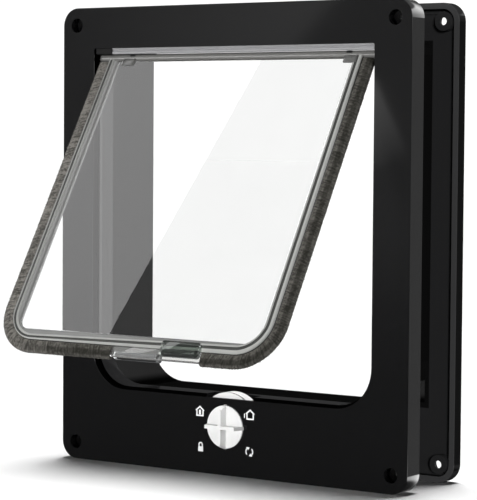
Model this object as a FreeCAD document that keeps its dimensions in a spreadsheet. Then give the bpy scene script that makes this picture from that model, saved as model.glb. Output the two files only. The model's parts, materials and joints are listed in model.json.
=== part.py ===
import FreeCAD, Part
import math
import os

import Sketcher

# A four-way locking cat flap, in millimetres.
# X runs to the right, Y runs from the room side to the garden side, Z is up.
# The origin is the middle of the front screw pattern, on the door-side plane of the front frame.
# The flap is shown swung open towards the viewer, as it hangs in the reference view.

Vector = FreeCAD.Vector

# Driving sizes: cell name, value, what it is
DRIVING_SIZES = [
    ("frame_width", 250.0, "outer width of both frames"),
    ("frame_height", 280.0, "outer height of both frames"),
    ("frame_corner", 11.0, "outer corner radius of both frames"),
    ("front_thickness", 13.8, "front frame, face to door"),
    ("front_skin", 2.2, "face wall of the front frame"),
    ("front_wall", 2.6, "outer side wall of the front frame"),
    ("front_edge", 0.6, "rounding of the front frame's outer edge"),
    ("screw_inset", 10.75, "screw centre from the outer edges"),
    ("screw_hole", 2.25, "radius of the clearance holes"),
    ("screw_sink", 4.4, "radius of the front counterbores"),
    ("sink_depth", 8.0, "depth of the front counterbores"),
    ("front_tube", 6.2, "outer radius of the front screw tubes"),
    ("side_border", 24.2, "front face beside the opening"),
    ("top_border", 25.0, "front face above the opening"),
    ("bottom_border", 46.0, "front face below the opening"),
    ("opening_corner", 24.5, "bottom corner radius of the front opening"),
    ("opening_top_corner", 1.0, "top corner radius of the front opening"),
    ("jamb_depth", 4.5, "depth of the wide mouth of the opening"),
    ("shoulder", 1.6, "step from the mouth in to the sleeve"),
    ("sleeve_top_corner", 3.5, "top corner radius inside the front sleeve"),
    ("collar_wall", 1.7, "wall of the front sleeve"),
    ("front_sleeve_tail", 4.2, "front sleeve beyond the door-side plane"),
    ("rib_thickness", 1.8, "stiffening ribs behind the face"),
    ("rib_depth", 8.8, "how far the ribs stand behind the face wall"),
    ("rib_across", 60.0, "upright ribs from the middle"),
    ("rib_low", 45.0, "lower level ribs below the middle"),
    ("rib_high", 55.0, "upper level ribs above the middle"),
    ("door_gap", 40.0, "door thickness between the frames as shown"),
    ("rear_thickness", 8.7, "rear frame, door to garden"),
    ("rear_skin", 2.7, "garden-side wall of the rear frame"),
    ("rear_rim", 3.6, "width of the rear frame's rim on the door"),
    ("rear_edge", 1.2, "rounding of the rear frame's garden-side edge"),
    ("rear_boss", 5.6, "outer radius of the rear screw bosses"),
    ("rear_seat", 1.6, "wall of each rear boss around its hole"),
    ("rear_recess", 4.8, "radius of the nut recess behind each rear hole"),
    ("recess_edge", 2.4, "rounding of the nut recess at the garden side"),
    ("rear_sleeve_wall", 2.8, "wall of the rear sleeve"),
    ("rear_sleeve_start", 1.0, "rear sleeve's front end, behind the door-side plane"),
    ("sleeve_slip", 0.3, "gap between the two sleeves"),
    ("drum_notch", 2.7, "cut in the rear sleeve that clears the lock drum"),
    ("hinge_depth", 6.0, "hinge line behind the front face"),
    ("hinge_drop", 6.4, "hinge line below the top of the opening"),
    ("hinge_boss", 3.2, "outer radius of the hinge bosses"),
    ("boss_overhang", 2.4, "hinge bosses beyond the opening's sides"),
    ("pin_radius", 1.0, "hinge pin"),
    ("pin_play", 0.05, "running gap around the hinge pins and the lock shank"),
    ("pin_reach", 8.8, "length of each hinge pin inside the rail"),
    ("pin_overhang", 1.5, "hinge pins beyond the opening's sides"),
    ("pin_float", 0.4, "room beyond each pin's outer end"),
    ("open_angle", 31.0, "how far the flap is swung open, in degrees"),
    ("rail_radius", 2.1, "barrel of the flap rail"),
    ("rail_leaf", 1.3, "half the thickness of the rail's leaf"),
    ("rail_drop", 3.2, "hinge line to the top edge of the panel"),
    ("clip_inset", 21.3, "centre of each rail clip from the opening's side"),
    ("clip_half", 4.3, "half the width of a rail clip"),
    ("clip_drop", 7.0, "hinge line to the tip of a rail clip"),
    ("clip_thickness", 1.2, "thickness of a rail clip"),
    ("clip_slot_half", 1.8, "half the width of the slot beside each clip"),
    ("clip_slot_rise", 0.6, "hinge line to the floor of the slot beside each clip"),
    ("flap_side_gap", 0.4, "gap from the pile to the sleeve's sides"),
    ("flap_floor_gap", 0.5, "gap from the pile to the sleeve's floor"),
    ("pile_half", 2.2, "half the thickness of the pile"),
    ("pile_width", 8.0, "width of the pile beyond the panel's ridge"),
    ("pile_corner", 28.0, "outer corner radius of the pile"),
    ("pile_left_end", 11.5, "end of the left pile, left of the middle"),
    ("pile_right_end", 51.0, "end of the right pile, right of the middle"),
    ("tongue_reach", 3.0, "panel's tongue inside the pile"),
    ("tongue_half", 0.5, "half the thickness of the tongue"),
    ("ridge_width", 2.5, "panel's raised ridge beside the pile"),
    ("ridge_half", 2.6, "half the thickness of the ridge"),
    ("band_width", 4.5, "stepped band inside the ridge"),
    ("band_half", 1.6, "half the thickness of the band"),
    ("sheet_corner", 6.0, "bottom corner radius of the clear sheet"),
    ("sheet_half", 1.0, "half the thickness of the clear sheet"),
    ("bar_half", 1.25, "half the thickness of the panel's bottom bar"),
    ("drum_gap", 0.4, "gap from the flap's bottom bar to the lock drum"),
    ("cover_left", 11.2, "magnet cover's left end, left of the middle"),
    ("cover_right", 21.0, "magnet cover's right end"),
    ("cover_height", 8.5, "height of the magnet cover"),
    ("cover_back", 5.2, "back of the magnet cover behind the flap's middle plane"),
    ("cover_wall", 1.1, "wall of the magnet cover"),
    ("cover_soft", 0.8, "cut corners of the magnet cover"),
    ("grip_left", 24.5, "grip block's left end"),
    ("grip_right", 50.5, "grip block's right end"),
    ("grip_high", 10.2, "top of the grip block above the bar's lower edge"),
    ("grip_low", 1.2, "bottom of the grip block above the bar's lower edge"),
    ("grip_front", 5.8, "front of the grip block before the flap's middle plane"),
    ("grip_wall", 1.2, "wall of the grip block"),
    ("grip_soft", 0.9, "cut corners of the grip block"),
    ("lock_rise", 29.2, "lock axis above the bottom of the frame"),
    ("drum_radius", 20.3, "lock drum"),
    ("drum_front_gap", 0.2, "gap from the face wall to the drum"),
    ("drum_thickness", 8.2, "thickness of the lock drum"),
    ("lobe_reach", 2.2, "reach of the lock's blocking lobes beyond the drum"),
    ("lobe_clearance", 0.4, "gap around the lobes where they come up through the sill"),
    ("front_lobe", 1.3, "thickness of the front lobe"),
    ("neck_radius", 14.0, "neck between the drum and the rear lobe"),
    ("neck_length", 1.0, "length of the neck"),
    ("rear_lobe", 1.6, "thickness of the rear lobe"),
    ("rear_hub", 16.0, "hub radius of the rear lobe"),
    ("detent_notch", 1.6, "radius of the detent notches"),
    ("shank_radius", 4.0, "knob shank"),
    ("shank_depth", 8.0, "knob shank behind the front face"),
    ("knob_radius", 12.8, "knob disc"),
    ("knob_gap", 0.15, "gap from the knob disc to the face"),
    ("knob_disc", 0.85, "thickness of the knob disc"),
    ("grip_rise", 5.7, "height of the knob's cross above its disc"),
    ("cross_half", 1.0, "half the thickness of a cross rib"),
    ("cross_root", 13.3, "half the length of a cross rib at the disc"),
    ("cross_crest", 10.7, "half the length of a cross rib at its crest"),
    ("screw_core", 1.2, "radius of the lock and holder screws"),
    ("screw_head", 2.9, "head radius of those screws"),
    ("head_thickness", 1.3, "head thickness of those screws"),
    ("slot_depth", 0.7, "depth of the lock screw's slot"),
    ("slot_half", 0.4, "half the width of the lock screw's slot"),
    ("lock_screw_reach", 6.5, "lock screw's length inside the shank"),
    ("core_room", 0.5, "bore beyond the lock screw's tip"),
    ("spring_thickness", 0.5, "detent spring strip"),
    ("spring_width", 5.5, "detent spring strip, along Y"),
    ("spring_start", 4.3, "front edge of the spring behind the front face"),
    ("spring_half", 11.0, "half the length of the spring"),
    ("spring_drop", 23.4, "spring's inner face from the lock axis, at its ends"),
    ("nose_gap", 0.3, "gap from the spring's nose to the drum"),
    ("nose_half", 4.0, "half the foot of the spring's nose"),
    ("post_length", 3.0, "spring posts, along the spring"),
    ("post_depth", 2.0, "spring posts, away from the lock"),
    ("post_overhang", 0.5, "spring posts beyond the spring's ends"),
    ("bar_gap", 13.3, "left end of the lintel bar from the opening's side"),
    ("bar_front", 1.2, "lintel bar behind the front face"),
    ("bar_height", 3.7, "height of the lintel bar"),
    ("bar_groove", 0.5, "depth of the lintel bar's grooves"),
    ("clip_front", 0.9, "bar clip behind the front face"),
    ("clip_nick", 0.4, "cut lower edge of the bar clip"),
    ("magnet_left", 21.2, "frame magnet's left end"),
    ("magnet_right", 30.0, "frame magnet's right end"),
    ("magnet_height", 3.6, "height of the frame magnet"),
    ("magnet_depth", 4.2, "frame magnet, along Y"),
    ("holder_wall", 1.0, "wall of the magnet holder"),
    ("holder_post", 27.4, "holder screw right of the middle"),
    ("holder_tab", 6.0, "height of the holder's tab"),
    ("tab_thickness", 2.0, "thickness of the holder's tab"),
    ("tab_margin", 0.2, "tab beyond the screw's head, on each side"),
    ("post_floor", 0.6, "solid foot of the holder's post"),
    ("screw_short", 1.0, "holder screw's tip behind the face wall"),
    ("holder_start", 6.2, "front of the magnet holder behind the front face"),
]


class Size:
    """A length with its value and the spreadsheet expression that gives it."""

    def __init__(self, value, text):
        self.value = float(value)
        self.text = text

    def __add__(self, other):
        other = as_size(other)
        return Size(self.value + other.value, f"({self.text} + {other.text})")

    def __radd__(self, other):
        return as_size(other) + self

    def __sub__(self, other):
        other = as_size(other)
        return Size(self.value - other.value, f"({self.text} - {other.text})")

    def __rsub__(self, other):
        return as_size(other) - self

    def __mul__(self, factor):
        return Size(self.value * factor, f"({self.text} * {factor})")

    def __rmul__(self, factor):
        return self * factor

    def __truediv__(self, divisor):
        return Size(self.value / divisor, f"({self.text} / {divisor})")

    def __neg__(self):
        return Size(-self.value, f"(-1 * {self.text})")


def as_size(number):
    """Wrap a plain number as a Size."""
    if isinstance(number, Size):
        return number
    return Size(number, f"({number})")


def fill_sheet(doc):
    """Put the driving sizes in the spreadsheet and return them by name."""
    sheet = doc.addObject("Spreadsheet::Sheet", "sizes")
    named = {}
    for row, (name, value, meaning) in enumerate(DRIVING_SIZES, start=1):
        sheet.set(f"A{row}", meaning)
        sheet.set(f"B{row}", str(value))
        sheet.setAlias(f"B{row}", name)
        named[name] = Size(value, f"sizes.{name}")
    doc.recompute()
    return named


# Sketches

def new_body(doc, label):
    """Start a sub-part whose label names its file."""
    body = doc.addObject("PartDesign::Body", label)
    body.Label = label
    return body


def new_sketch(body, name, role, height):
    """Start a sketch on one of the body's own origin planes, moved along its normal."""
    plane = [item for item in body.Origin.OriginFeatures if item.Role == role][0]
    sketch = body.newObject("Sketcher::SketchObject", name)
    sketch.AttachmentSupport = (plane, [""])
    sketch.MapMode = "FlatFace"
    sketch.AttachmentOffset = FreeCAD.Placement(Vector(0, 0, height.value), FreeCAD.Rotation())
    sketch.setExpression("AttachmentOffset.Base.z", height.text)
    return sketch


def pin_point(sketch, axis, geometry, point, size):
    """Fix one coordinate of a sketch point from the sketch's origin."""
    size = as_size(size)
    kind = "DistanceX" if axis == "x" else "DistanceY"
    if abs(size.value) < 1e-9:
        on_line = -2 if axis == "x" else -1
        sketch.addConstraint(Sketcher.Constraint("PointOnObject", geometry, point, on_line))
        return
    if size.value > 0:
        index = sketch.addConstraint(Sketcher.Constraint(kind, -1, 1, geometry, point, size.value))
        sketch.setExpression(f"Constraints[{index}]", size.text)
    else:
        index = sketch.addConstraint(Sketcher.Constraint(kind, geometry, point, -1, 1, -size.value))
        sketch.setExpression(f"Constraints[{index}]", (-size).text)


def draw_circle(sketch, across, up, radius):
    """Draw a circle with its centre and radius bound to sizes."""
    across = as_size(across)
    up = as_size(up)
    circle = Part.Circle(Vector(across.value, up.value, 0), Vector(0, 0, 1), radius.value)
    index = sketch.addGeometry(circle)
    pin_point(sketch, "x", index, 3, across)
    pin_point(sketch, "y", index, 3, up)
    constraint = sketch.addConstraint(Sketcher.Constraint("Radius", index, radius.value))
    sketch.setExpression(f"Constraints[{constraint}]", radius.text)


def draw_polygon(sketch, points):
    """Draw a closed polygon whose corners are bound to sizes."""
    points = [(as_size(across), as_size(up)) for across, up in points]
    first = sketch.GeometryCount
    count = len(points)
    for index, (across, up) in enumerate(points):
        next_across, next_up = points[(index + 1) % count]
        start = Vector(across.value, up.value, 0)
        end = Vector(next_across.value, next_up.value, 0)
        sketch.addGeometry(Part.LineSegment(start, end))
    for index in range(count):
        following = (index + 1) % count
        sketch.addConstraint(Sketcher.Constraint("Coincident", first + index, 2, first + following, 1))
    for index, (across, up) in enumerate(points):
        pin_point(sketch, "x", first + index, 1, across)
        pin_point(sketch, "y", first + index, 1, up)


def draw_box(sketch, left, right, bottom, top):
    """Draw an upright rectangle."""
    draw_polygon(sketch, [(left, bottom), (right, bottom), (right, top), (left, top)])


def arc_through(centre, radius, start_angle):
    """A quarter arc that turns anticlockwise from the start angle, in degrees."""
    circle = Part.Circle(centre, Vector(0, 0, 1), radius)
    start = math.radians(start_angle)
    return Part.ArcOfCircle(circle, start, start + math.pi / 2)


def draw_outline(sketch, half, bottom, top, bottom_radius, top_radius):
    """Draw an outline that is even about the vertical, with round bottom and top corners."""
    low = bottom.value
    high = top.value
    side = half.value
    low_radius = bottom_radius.value
    high_radius = top_radius.value
    first = sketch.GeometryCount
    sketch.addGeometry(Part.LineSegment(Vector(-side + low_radius, low, 0), Vector(side - low_radius, low, 0)))
    sketch.addGeometry(arc_through(Vector(side - low_radius, low + low_radius, 0), low_radius, -90))
    sketch.addGeometry(Part.LineSegment(Vector(side, low + low_radius, 0), Vector(side, high - high_radius, 0)))
    sketch.addGeometry(arc_through(Vector(side - high_radius, high - high_radius, 0), high_radius, 0))
    sketch.addGeometry(Part.LineSegment(Vector(side - high_radius, high, 0), Vector(-side + high_radius, high, 0)))
    sketch.addGeometry(arc_through(Vector(-side + high_radius, high - high_radius, 0), high_radius, 90))
    sketch.addGeometry(Part.LineSegment(Vector(-side, high - high_radius, 0), Vector(-side, low + low_radius, 0)))
    sketch.addGeometry(arc_through(Vector(-side + low_radius, low + low_radius, 0), low_radius, 180))
    for index in range(8):
        following = (index + 1) % 8
        sketch.addConstraint(Sketcher.Constraint("Tangent", first + index, 2, first + following, 1))
    sketch.addConstraint(Sketcher.Constraint("Horizontal", first))
    sketch.addConstraint(Sketcher.Constraint("Vertical", first + 2))
    pin_point(sketch, "y", first, 1, bottom)
    pin_point(sketch, "x", first + 2, 1, half)
    pin_point(sketch, "y", first + 4, 1, top)
    pin_point(sketch, "x", first + 6, 1, -half)
    for offset, radius in ((1, bottom_radius), (7, bottom_radius), (3, top_radius), (5, top_radius)):
        index = sketch.addConstraint(Sketcher.Constraint("Radius", first + offset, radius.value))
        sketch.setExpression(f"Constraints[{index}]", radius.text)


def draw_sector(sketch, centre_up, radius, start_angle, end_angle):
    """Draw a pie sector about a point on the vertical, from one angle anticlockwise to another."""
    centre = Vector(0, centre_up.value, 0)
    start = math.radians(start_angle)
    end = math.radians(end_angle)
    circle = Part.Circle(centre, Vector(0, 0, 1), radius.value)
    arc = sketch.addGeometry(Part.ArcOfCircle(circle, start, end))
    start_point = centre + Vector(math.cos(start), math.sin(start), 0) * radius.value
    end_point = centre + Vector(math.cos(end), math.sin(end), 0) * radius.value
    closing = sketch.addGeometry(Part.LineSegment(end_point, centre))
    opening = sketch.addGeometry(Part.LineSegment(centre, start_point))
    sketch.addConstraint(Sketcher.Constraint("Coincident", arc, 2, closing, 1))
    sketch.addConstraint(Sketcher.Constraint("Coincident", closing, 2, opening, 1))
    sketch.addConstraint(Sketcher.Constraint("Coincident", opening, 2, arc, 1))
    sketch.addConstraint(Sketcher.Constraint("Coincident", arc, 3, opening, 1))
    pin_point(sketch, "x", arc, 3, 0)
    pin_point(sketch, "y", arc, 3, centre_up)
    index = sketch.addConstraint(Sketcher.Constraint("Radius", arc, radius.value))
    sketch.setExpression(f"Constraints[{index}]", radius.text)
    for line, angle in ((opening, start), (closing, end + math.pi)):
        sketch.addConstraint(Sketcher.Constraint("Angle", line, angle))


# Features. A slab or a cut starts at a place on Y (or X, or Z) and runs in the positive direction.

PLANES = {"y": ("XZ_Plane", -1), "x": ("YZ_Plane", 1), "z": ("XY_Plane", 1)}


def add_feature(body, kind, name, start, length, draw, axis):
    """Add a pad or a pocket that runs from its start in the positive direction of an axis."""
    role, direction = PLANES[axis]
    start = as_size(start)
    length = as_size(length)
    sketch = new_sketch(body, name + "_sketch", role, start * direction)
    draw(sketch)
    feature = body.newObject(f"PartDesign::{kind}", name)
    feature.Profile = sketch
    feature.Length = length.value
    feature.setExpression("Length", length.text)
    runs_forward = direction == 1
    feature.Reversed = (not runs_forward) if kind == "Pad" else runs_forward
    before = body.Shape.Volume if body.Shape and not body.Shape.isNull() else 0.0
    body.Document.recompute()
    change = body.Shape.Volume - before
    if (kind == "Pad") != (change > 0.0) or abs(change) < 1e-6:
        raise RuntimeError(f"{body.Label}: {name} changed the volume by {change:.4f}")
    return feature


def slab(body, name, start, length, draw, axis="y"):
    """Add material."""
    return add_feature(body, "Pad", name, start, length, draw, axis)


def cut(body, name, start, length, draw, axis="y"):
    """Take material away."""
    return add_feature(body, "Pocket", name, start, length, draw, axis)


def round_edges(body, name, radius, wanted):
    """Round the edges of the body that the test picks."""
    tip = body.Tip
    names = [f"Edge{index}" for index, edge in enumerate(tip.Shape.Edges, start=1) if wanted(edge)]
    fillet = body.newObject("PartDesign::Fillet", name)
    fillet.Base = (tip, names)
    fillet.Radius = radius.value
    fillet.setExpression("Radius", radius.text)
    body.Document.recompute()
    return fillet


def lies_at(edge, axis, place, outside=0.0):
    """Whether an edge lies in a plane across an axis, and is not nearer the middle than outside."""
    box = edge.BoundBox
    low = {"x": box.XMin, "y": box.YMin, "z": box.ZMin}[axis]
    high = {"x": box.XMax, "y": box.YMax, "z": box.ZMax}[axis]
    reach = max(abs(box.XMin), abs(box.XMax), abs(box.ZMin), abs(box.ZMax))
    return abs(low - place) < 1e-4 and abs(high - place) < 1e-4 and reach > outside


def is_round(edge, radius):
    """Whether an edge is an arc or circle of the radius."""
    return isinstance(edge.Curve, Part.Circle) and abs(edge.Curve.Radius - radius) < 1e-4


# Sizes that follow from the driving ones

def derive(size):
    """Work out the places that several pieces share."""
    face = -size["front_thickness"]
    size["face"] = face
    size["skin_back"] = face + size["front_skin"]
    size["half_width"] = size["frame_width"] / 2
    size["half_height"] = size["frame_height"] / 2
    size["screw_across"] = size["half_width"] - size["screw_inset"]
    size["screw_up"] = size["half_height"] - size["screw_inset"]
    size["opening_half"] = size["half_width"] - size["side_border"]
    size["opening_top"] = size["half_height"] - size["top_border"]
    size["opening_sill"] = size["half_height"] - size["bottom_border"]
    size["sleeve_half"] = size["opening_half"] - size["shoulder"]
    size["sleeve_ceiling"] = size["opening_top"] - size["shoulder"]
    size["sleeve_floor"] = size["shoulder"] - size["opening_sill"]
    size["sleeve_corner"] = size["opening_corner"] - size["shoulder"]
    size["slip"] = size["collar_wall"] + size["sleeve_slip"]
    size["hinge_y"] = face + size["hinge_depth"]
    size["hinge_height"] = size["opening_top"] - size["hinge_drop"]
    size["hinge_boss_end"] = size["opening_half"] + size["boss_overhang"]
    size["pin_end"] = size["opening_half"] + size["pin_overhang"]
    size["clip_place"] = size["opening_half"] - size["clip_inset"]
    size["bar_left"] = size["opening_half"] - size["bar_gap"]
    size["lock_z"] = size["lock_rise"] - size["half_height"]
    size["drum_front"] = size["skin_back"] + size["drum_front_gap"]
    size["drum_back"] = size["drum_front"] + size["drum_thickness"]
    size["lobe_front"] = size["drum_back"] + size["neck_length"]
    size["cam_back"] = size["lobe_front"] + size["rear_lobe"]
    size["flap_half"] = size["sleeve_half"] - size["flap_side_gap"]
    size["pile_bottom"] = size["sleeve_floor"] + size["flap_floor_gap"]
    size["bar_bottom"] = size["lock_z"] + size["drum_radius"] + size["drum_gap"]
    size["lobe_radius"] = size["drum_radius"] + size["lobe_reach"]
    size["panel_top"] = size["hinge_height"] - size["rail_drop"]
    size["holder_y"] = face + size["holder_start"]
    size["collar_under"] = size["sleeve_floor"] - size["collar_wall"]


def four_corners(size):
    """The screw centres of both frames."""
    across = size["screw_across"]
    up = size["screw_up"]
    return [(-across, -up), (across, -up), (across, up), (-across, up)]


def frame_outline(size, inset=0.0):
    """A drawing of the frames' outer outline, or of one set in from it."""
    half = size["half_width"] - inset
    up = size["half_height"] - inset
    corner = size["frame_corner"] - inset
    return lambda sketch: draw_outline(sketch, half, -up, up, corner, corner)


def sleeve_outline(size, grow=0.0):
    """A drawing of the front sleeve's inner outline, or of one grown out from it."""
    half = size["sleeve_half"] + grow
    floor = size["sleeve_floor"] - grow
    ceiling = size["sleeve_ceiling"] + grow
    corner = size["sleeve_corner"] + grow
    top_corner = size["sleeve_top_corner"] + grow
    return lambda sketch: draw_outline(sketch, half, floor, ceiling, corner, top_corner)


def mouth_outline(size, grow=0.0):
    """A drawing of the front opening's outline, or of one grown out from it."""
    half = size["opening_half"] + grow
    sill = -size["opening_sill"] - grow
    top = size["opening_top"] + grow
    corner = size["opening_corner"] + grow
    top_corner = size["opening_top_corner"] + grow
    return lambda sketch: draw_outline(sketch, half, sill, top, corner, top_corner)


def circles(places, radius):
    """A drawing of equal circles."""
    def draw(sketch):
        for across, up in places:
            draw_circle(sketch, across, up, radius)
    return draw


def box(left, right, bottom, top):
    """A drawing of one rectangle."""
    return lambda sketch: draw_box(sketch, left, right, bottom, top)


# Frames

def lobe_room(size, height):
    """Half the width that the turning lobes need at a height above the lock axis."""
    rise = height - size["lock_z"]
    chord = math.sqrt(size["lobe_radius"].value ** 2 - rise.value ** 2)
    text = f"sqrt({size['lobe_radius'].text}^2 - {rise.text}^2)"
    return Size(chord, text) + size["lobe_clearance"]


def front_frame(doc, size):
    """The room-side frame: a hollow glossy moulding with the mouth, a short sleeve and the lock's seat."""
    body = new_body(doc, "front_frame")
    face = size["face"]
    skin_back = size["skin_back"]
    slab(body, "block", face, size["front_thickness"], frame_outline(size))
    front_place = face.value
    round_edges(body, "soft_edge", size["front_edge"], lambda edge: lies_at(edge, "y", front_place))
    cut(body, "hollow", skin_back, size["front_thickness"] - size["front_skin"],
        frame_outline(size, size["front_wall"]))

    mouth_back = size["jamb_depth"] + size["collar_wall"]
    slab(body, "mouth_wall", skin_back, mouth_back - size["front_skin"],
         mouth_outline(size, size["collar_wall"]))
    sleeve_length = size["front_thickness"] - size["front_skin"] + size["front_sleeve_tail"]
    slab(body, "sleeve_wall", skin_back, sleeve_length, sleeve_outline(size, size["collar_wall"]))

    hinge_place = [(size["hinge_y"], size["hinge_height"])]
    slab(body, "hinge_bosses", -size["hinge_boss_end"], size["hinge_boss_end"] * 2,
         circles(hinge_place, size["hinge_boss"]), axis="x")
    corners = four_corners(size)
    slab(body, "screw_tubes", skin_back, size["front_thickness"] - size["front_skin"],
         circles(corners, size["front_tube"]))
    slab(body, "ribs", skin_back, size["rib_depth"], lambda sketch: draw_front_ribs(sketch, size))
    slab(body, "spring_posts", skin_back, size["spring_start"] + size["spring_width"] - size["front_skin"],
         lambda sketch: draw_spring_posts(sketch, size))
    post_up = holder_screw_height(size)
    slab(body, "holder_post", skin_back, size["holder_start"] - size["front_skin"],
         circles([(size["holder_post"], post_up)], size["screw_head"]))

    cut(body, "mouth", face, size["jamb_depth"], mouth_outline(size))
    cut(body, "passage", face, size["front_thickness"] + size["front_sleeve_tail"], sleeve_outline(size))
    mouth_under = -size["opening_sill"] - size["collar_wall"]
    slot = lobe_room(size, mouth_under)
    slot_bottom = mouth_under - size["lobe_clearance"]
    slot_top = size["sleeve_floor"] + size["lobe_clearance"]
    cut(body, "lock_slot", skin_back, size["cam_back"] - skin_back + size["lobe_clearance"],
        box(-slot, slot, slot_bottom, slot_top))
    cut(body, "shank_hole", face, size["front_skin"],
        circles([(0, size["lock_z"])], size["shank_radius"] + size["pin_play"]))
    cut(body, "screw_sinks", face, size["sink_depth"], circles(corners, size["screw_sink"]))
    cut(body, "screw_holes", face, size["front_thickness"], circles(corners, size["screw_hole"]))
    pin_room = size["pin_end"] + size["pin_float"]
    cut(body, "pin_holes", -pin_room, pin_room * 2,
        circles(hinge_place, size["pin_radius"] + size["pin_play"]), axis="x")
    core_depth = size["holder_start"] - size["front_skin"] - size["post_floor"]
    cut(body, "holder_core", skin_back + size["post_floor"], core_depth,
        circles([(size["holder_post"], post_up)], size["screw_core"]))
    return body


def draw_front_ribs(sketch, size):
    """Ribs between the outer wall and the mouth's wall."""
    half = size["rib_thickness"] / 2
    wall_half = size["half_width"] - size["front_wall"] / 2
    wall_up = size["half_height"] - size["front_wall"] / 2
    mouth_side = size["opening_half"] + size["collar_wall"] / 2
    mouth_top = size["opening_top"] + size["collar_wall"] / 2
    mouth_sill = -size["opening_sill"] - size["collar_wall"] / 2
    for place in (-size["rib_across"], size["rib_across"]):
        draw_box(sketch, place - half, place + half, mouth_top, wall_up)
        draw_box(sketch, place - half, place + half, -wall_up, mouth_sill)
    for height in (-size["rib_low"], size["rib_high"]):
        draw_box(sketch, mouth_side, wall_half, height - half, height + half)
        draw_box(sketch, -wall_half, -mouth_side, height - half, height + half)


def turn_about_lock(size, across, up):
    """Turn a point of the spring, given below the lock axis, to its place at the lower right."""
    diagonal = round(math.sqrt(0.5), 6)
    across = as_size(across)
    turned_across = (across - up) * diagonal
    turned_up = (across + up) * diagonal
    return turned_across, size["lock_z"] + turned_up


def draw_spring_posts(sketch, size):
    """Two posts behind the ends of the detent spring."""
    inner = -size["spring_drop"] - size["spring_thickness"]
    outer = inner - size["post_depth"]
    end = size["spring_half"] + size["post_overhang"]
    start = end - size["post_length"]
    for left, right in ((-end, -start), (start, end)):
        corners = [(left, outer), (right, outer), (right, inner), (left, inner)]
        draw_polygon(sketch, [turn_about_lock(size, across, up) for across, up in corners])


def rear_frame(doc, size):
    """The garden-side frame: a shallow shell with the long sleeve that lines the door."""
    body = new_body(doc, "rear_frame")
    rim = size["door_gap"]
    back = rim + size["rear_thickness"]
    slab(body, "block", rim, size["rear_thickness"], frame_outline(size))
    back_place = back.value
    round_edges(body, "soft_edge", size["rear_edge"], lambda edge: lies_at(edge, "y", back_place))
    cut(body, "hollow", rim, size["rear_thickness"] - size["rear_skin"],
        frame_outline(size, size["rear_rim"]))
    outer = size["slip"] + size["rear_sleeve_wall"]
    start = size["rear_sleeve_start"]
    slab(body, "sleeve", start, back - start, sleeve_outline(size, outer))
    corners = four_corners(size)
    slab(body, "bosses", rim, size["rear_thickness"], circles(corners, size["rear_boss"]))
    cut(body, "passage", start, back - start, sleeve_outline(size, size["slip"]))
    cut(body, "screw_holes", rim, size["rear_thickness"], circles(corners, size["screw_hole"]))
    cut(body, "nut_recesses", rim + size["rear_seat"], size["rear_thickness"] - size["rear_seat"],
        circles(corners, size["rear_recess"]))
    recess = size["rear_recess"].value
    round_edges(body, "recess_edges", size["recess_edge"],
                lambda edge: lies_at(edge, "y", back_place) and is_round(edge, recess))
    floor = size["sleeve_floor"] - outer
    slot = lobe_room(size, floor)
    notch_floor = floor - size["lobe_clearance"]
    cut(body, "drum_notch", start, size["drum_notch"], box(-slot, slot, notch_floor, size["sleeve_floor"]))
    return body


def lintel_bar(doc, size):
    """The satin silver bar under the top jamb, with two grooves along its face."""
    body = new_body(doc, "lintel_bar")
    front = size["face"] + size["bar_front"]
    back = size["face"] + size["jamb_depth"]
    top = size["opening_top"]
    bottom = top - size["bar_height"]
    groove = size["bar_groove"]
    step = size["bar_height"] / 8
    points = [(back, bottom), (front + groove, bottom), (front, bottom + groove), (front, bottom + step * 3)]
    for place in (3, 5):
        points.append((front + groove, bottom + step * place + step / 4))
        points.append((front + groove, bottom + step * place + step * 3 / 4))
        points.append((front, bottom + step * (place + 1)))
        if place == 3:
            points.append((front, bottom + step * 5))
    points.append((front, top))
    points.append((back, top))
    # The right end stops where the jamb's corner begins to round
    length = size["bar_left"] + size["opening_half"] - size["opening_top_corner"]
    slab(body, "profile", -size["bar_left"], length, lambda sketch: draw_polygon(sketch, points), axis="x")
    return body


def bar_clip(doc, size):
    """The black block in the top left corner of the mouth that holds the bar's end."""
    body = new_body(doc, "bar_clip")
    front = size["face"] + size["clip_front"]
    back = size["face"] + size["jamb_depth"]
    top = size["opening_top"]
    bottom = top - size["bar_height"]
    nick = size["clip_nick"]
    section = [(back, bottom), (front + nick, bottom), (front, bottom + nick), (front, top), (back, top)]
    # The jamb's corner radius is kept clear at the top left
    start = -size["opening_half"] + size["opening_top_corner"]
    slab(body, "block", start, -size["bar_left"] - start, lambda sketch: draw_polygon(sketch, section), axis="x")
    return body


# Flap. Its pieces are drawn hanging straight down, then swung open together about the hinge line.

def swing_open(body, size):
    """Swing a flap piece out about the hinge line."""
    hinge = Vector(0, size["hinge_y"].value, size["hinge_height"].value)
    turn = FreeCAD.Rotation(Vector(1, 0, 0), -size["open_angle"].value)
    body.Placement = FreeCAD.Placement(Vector(0, 0, 0), turn, hinge)


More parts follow.
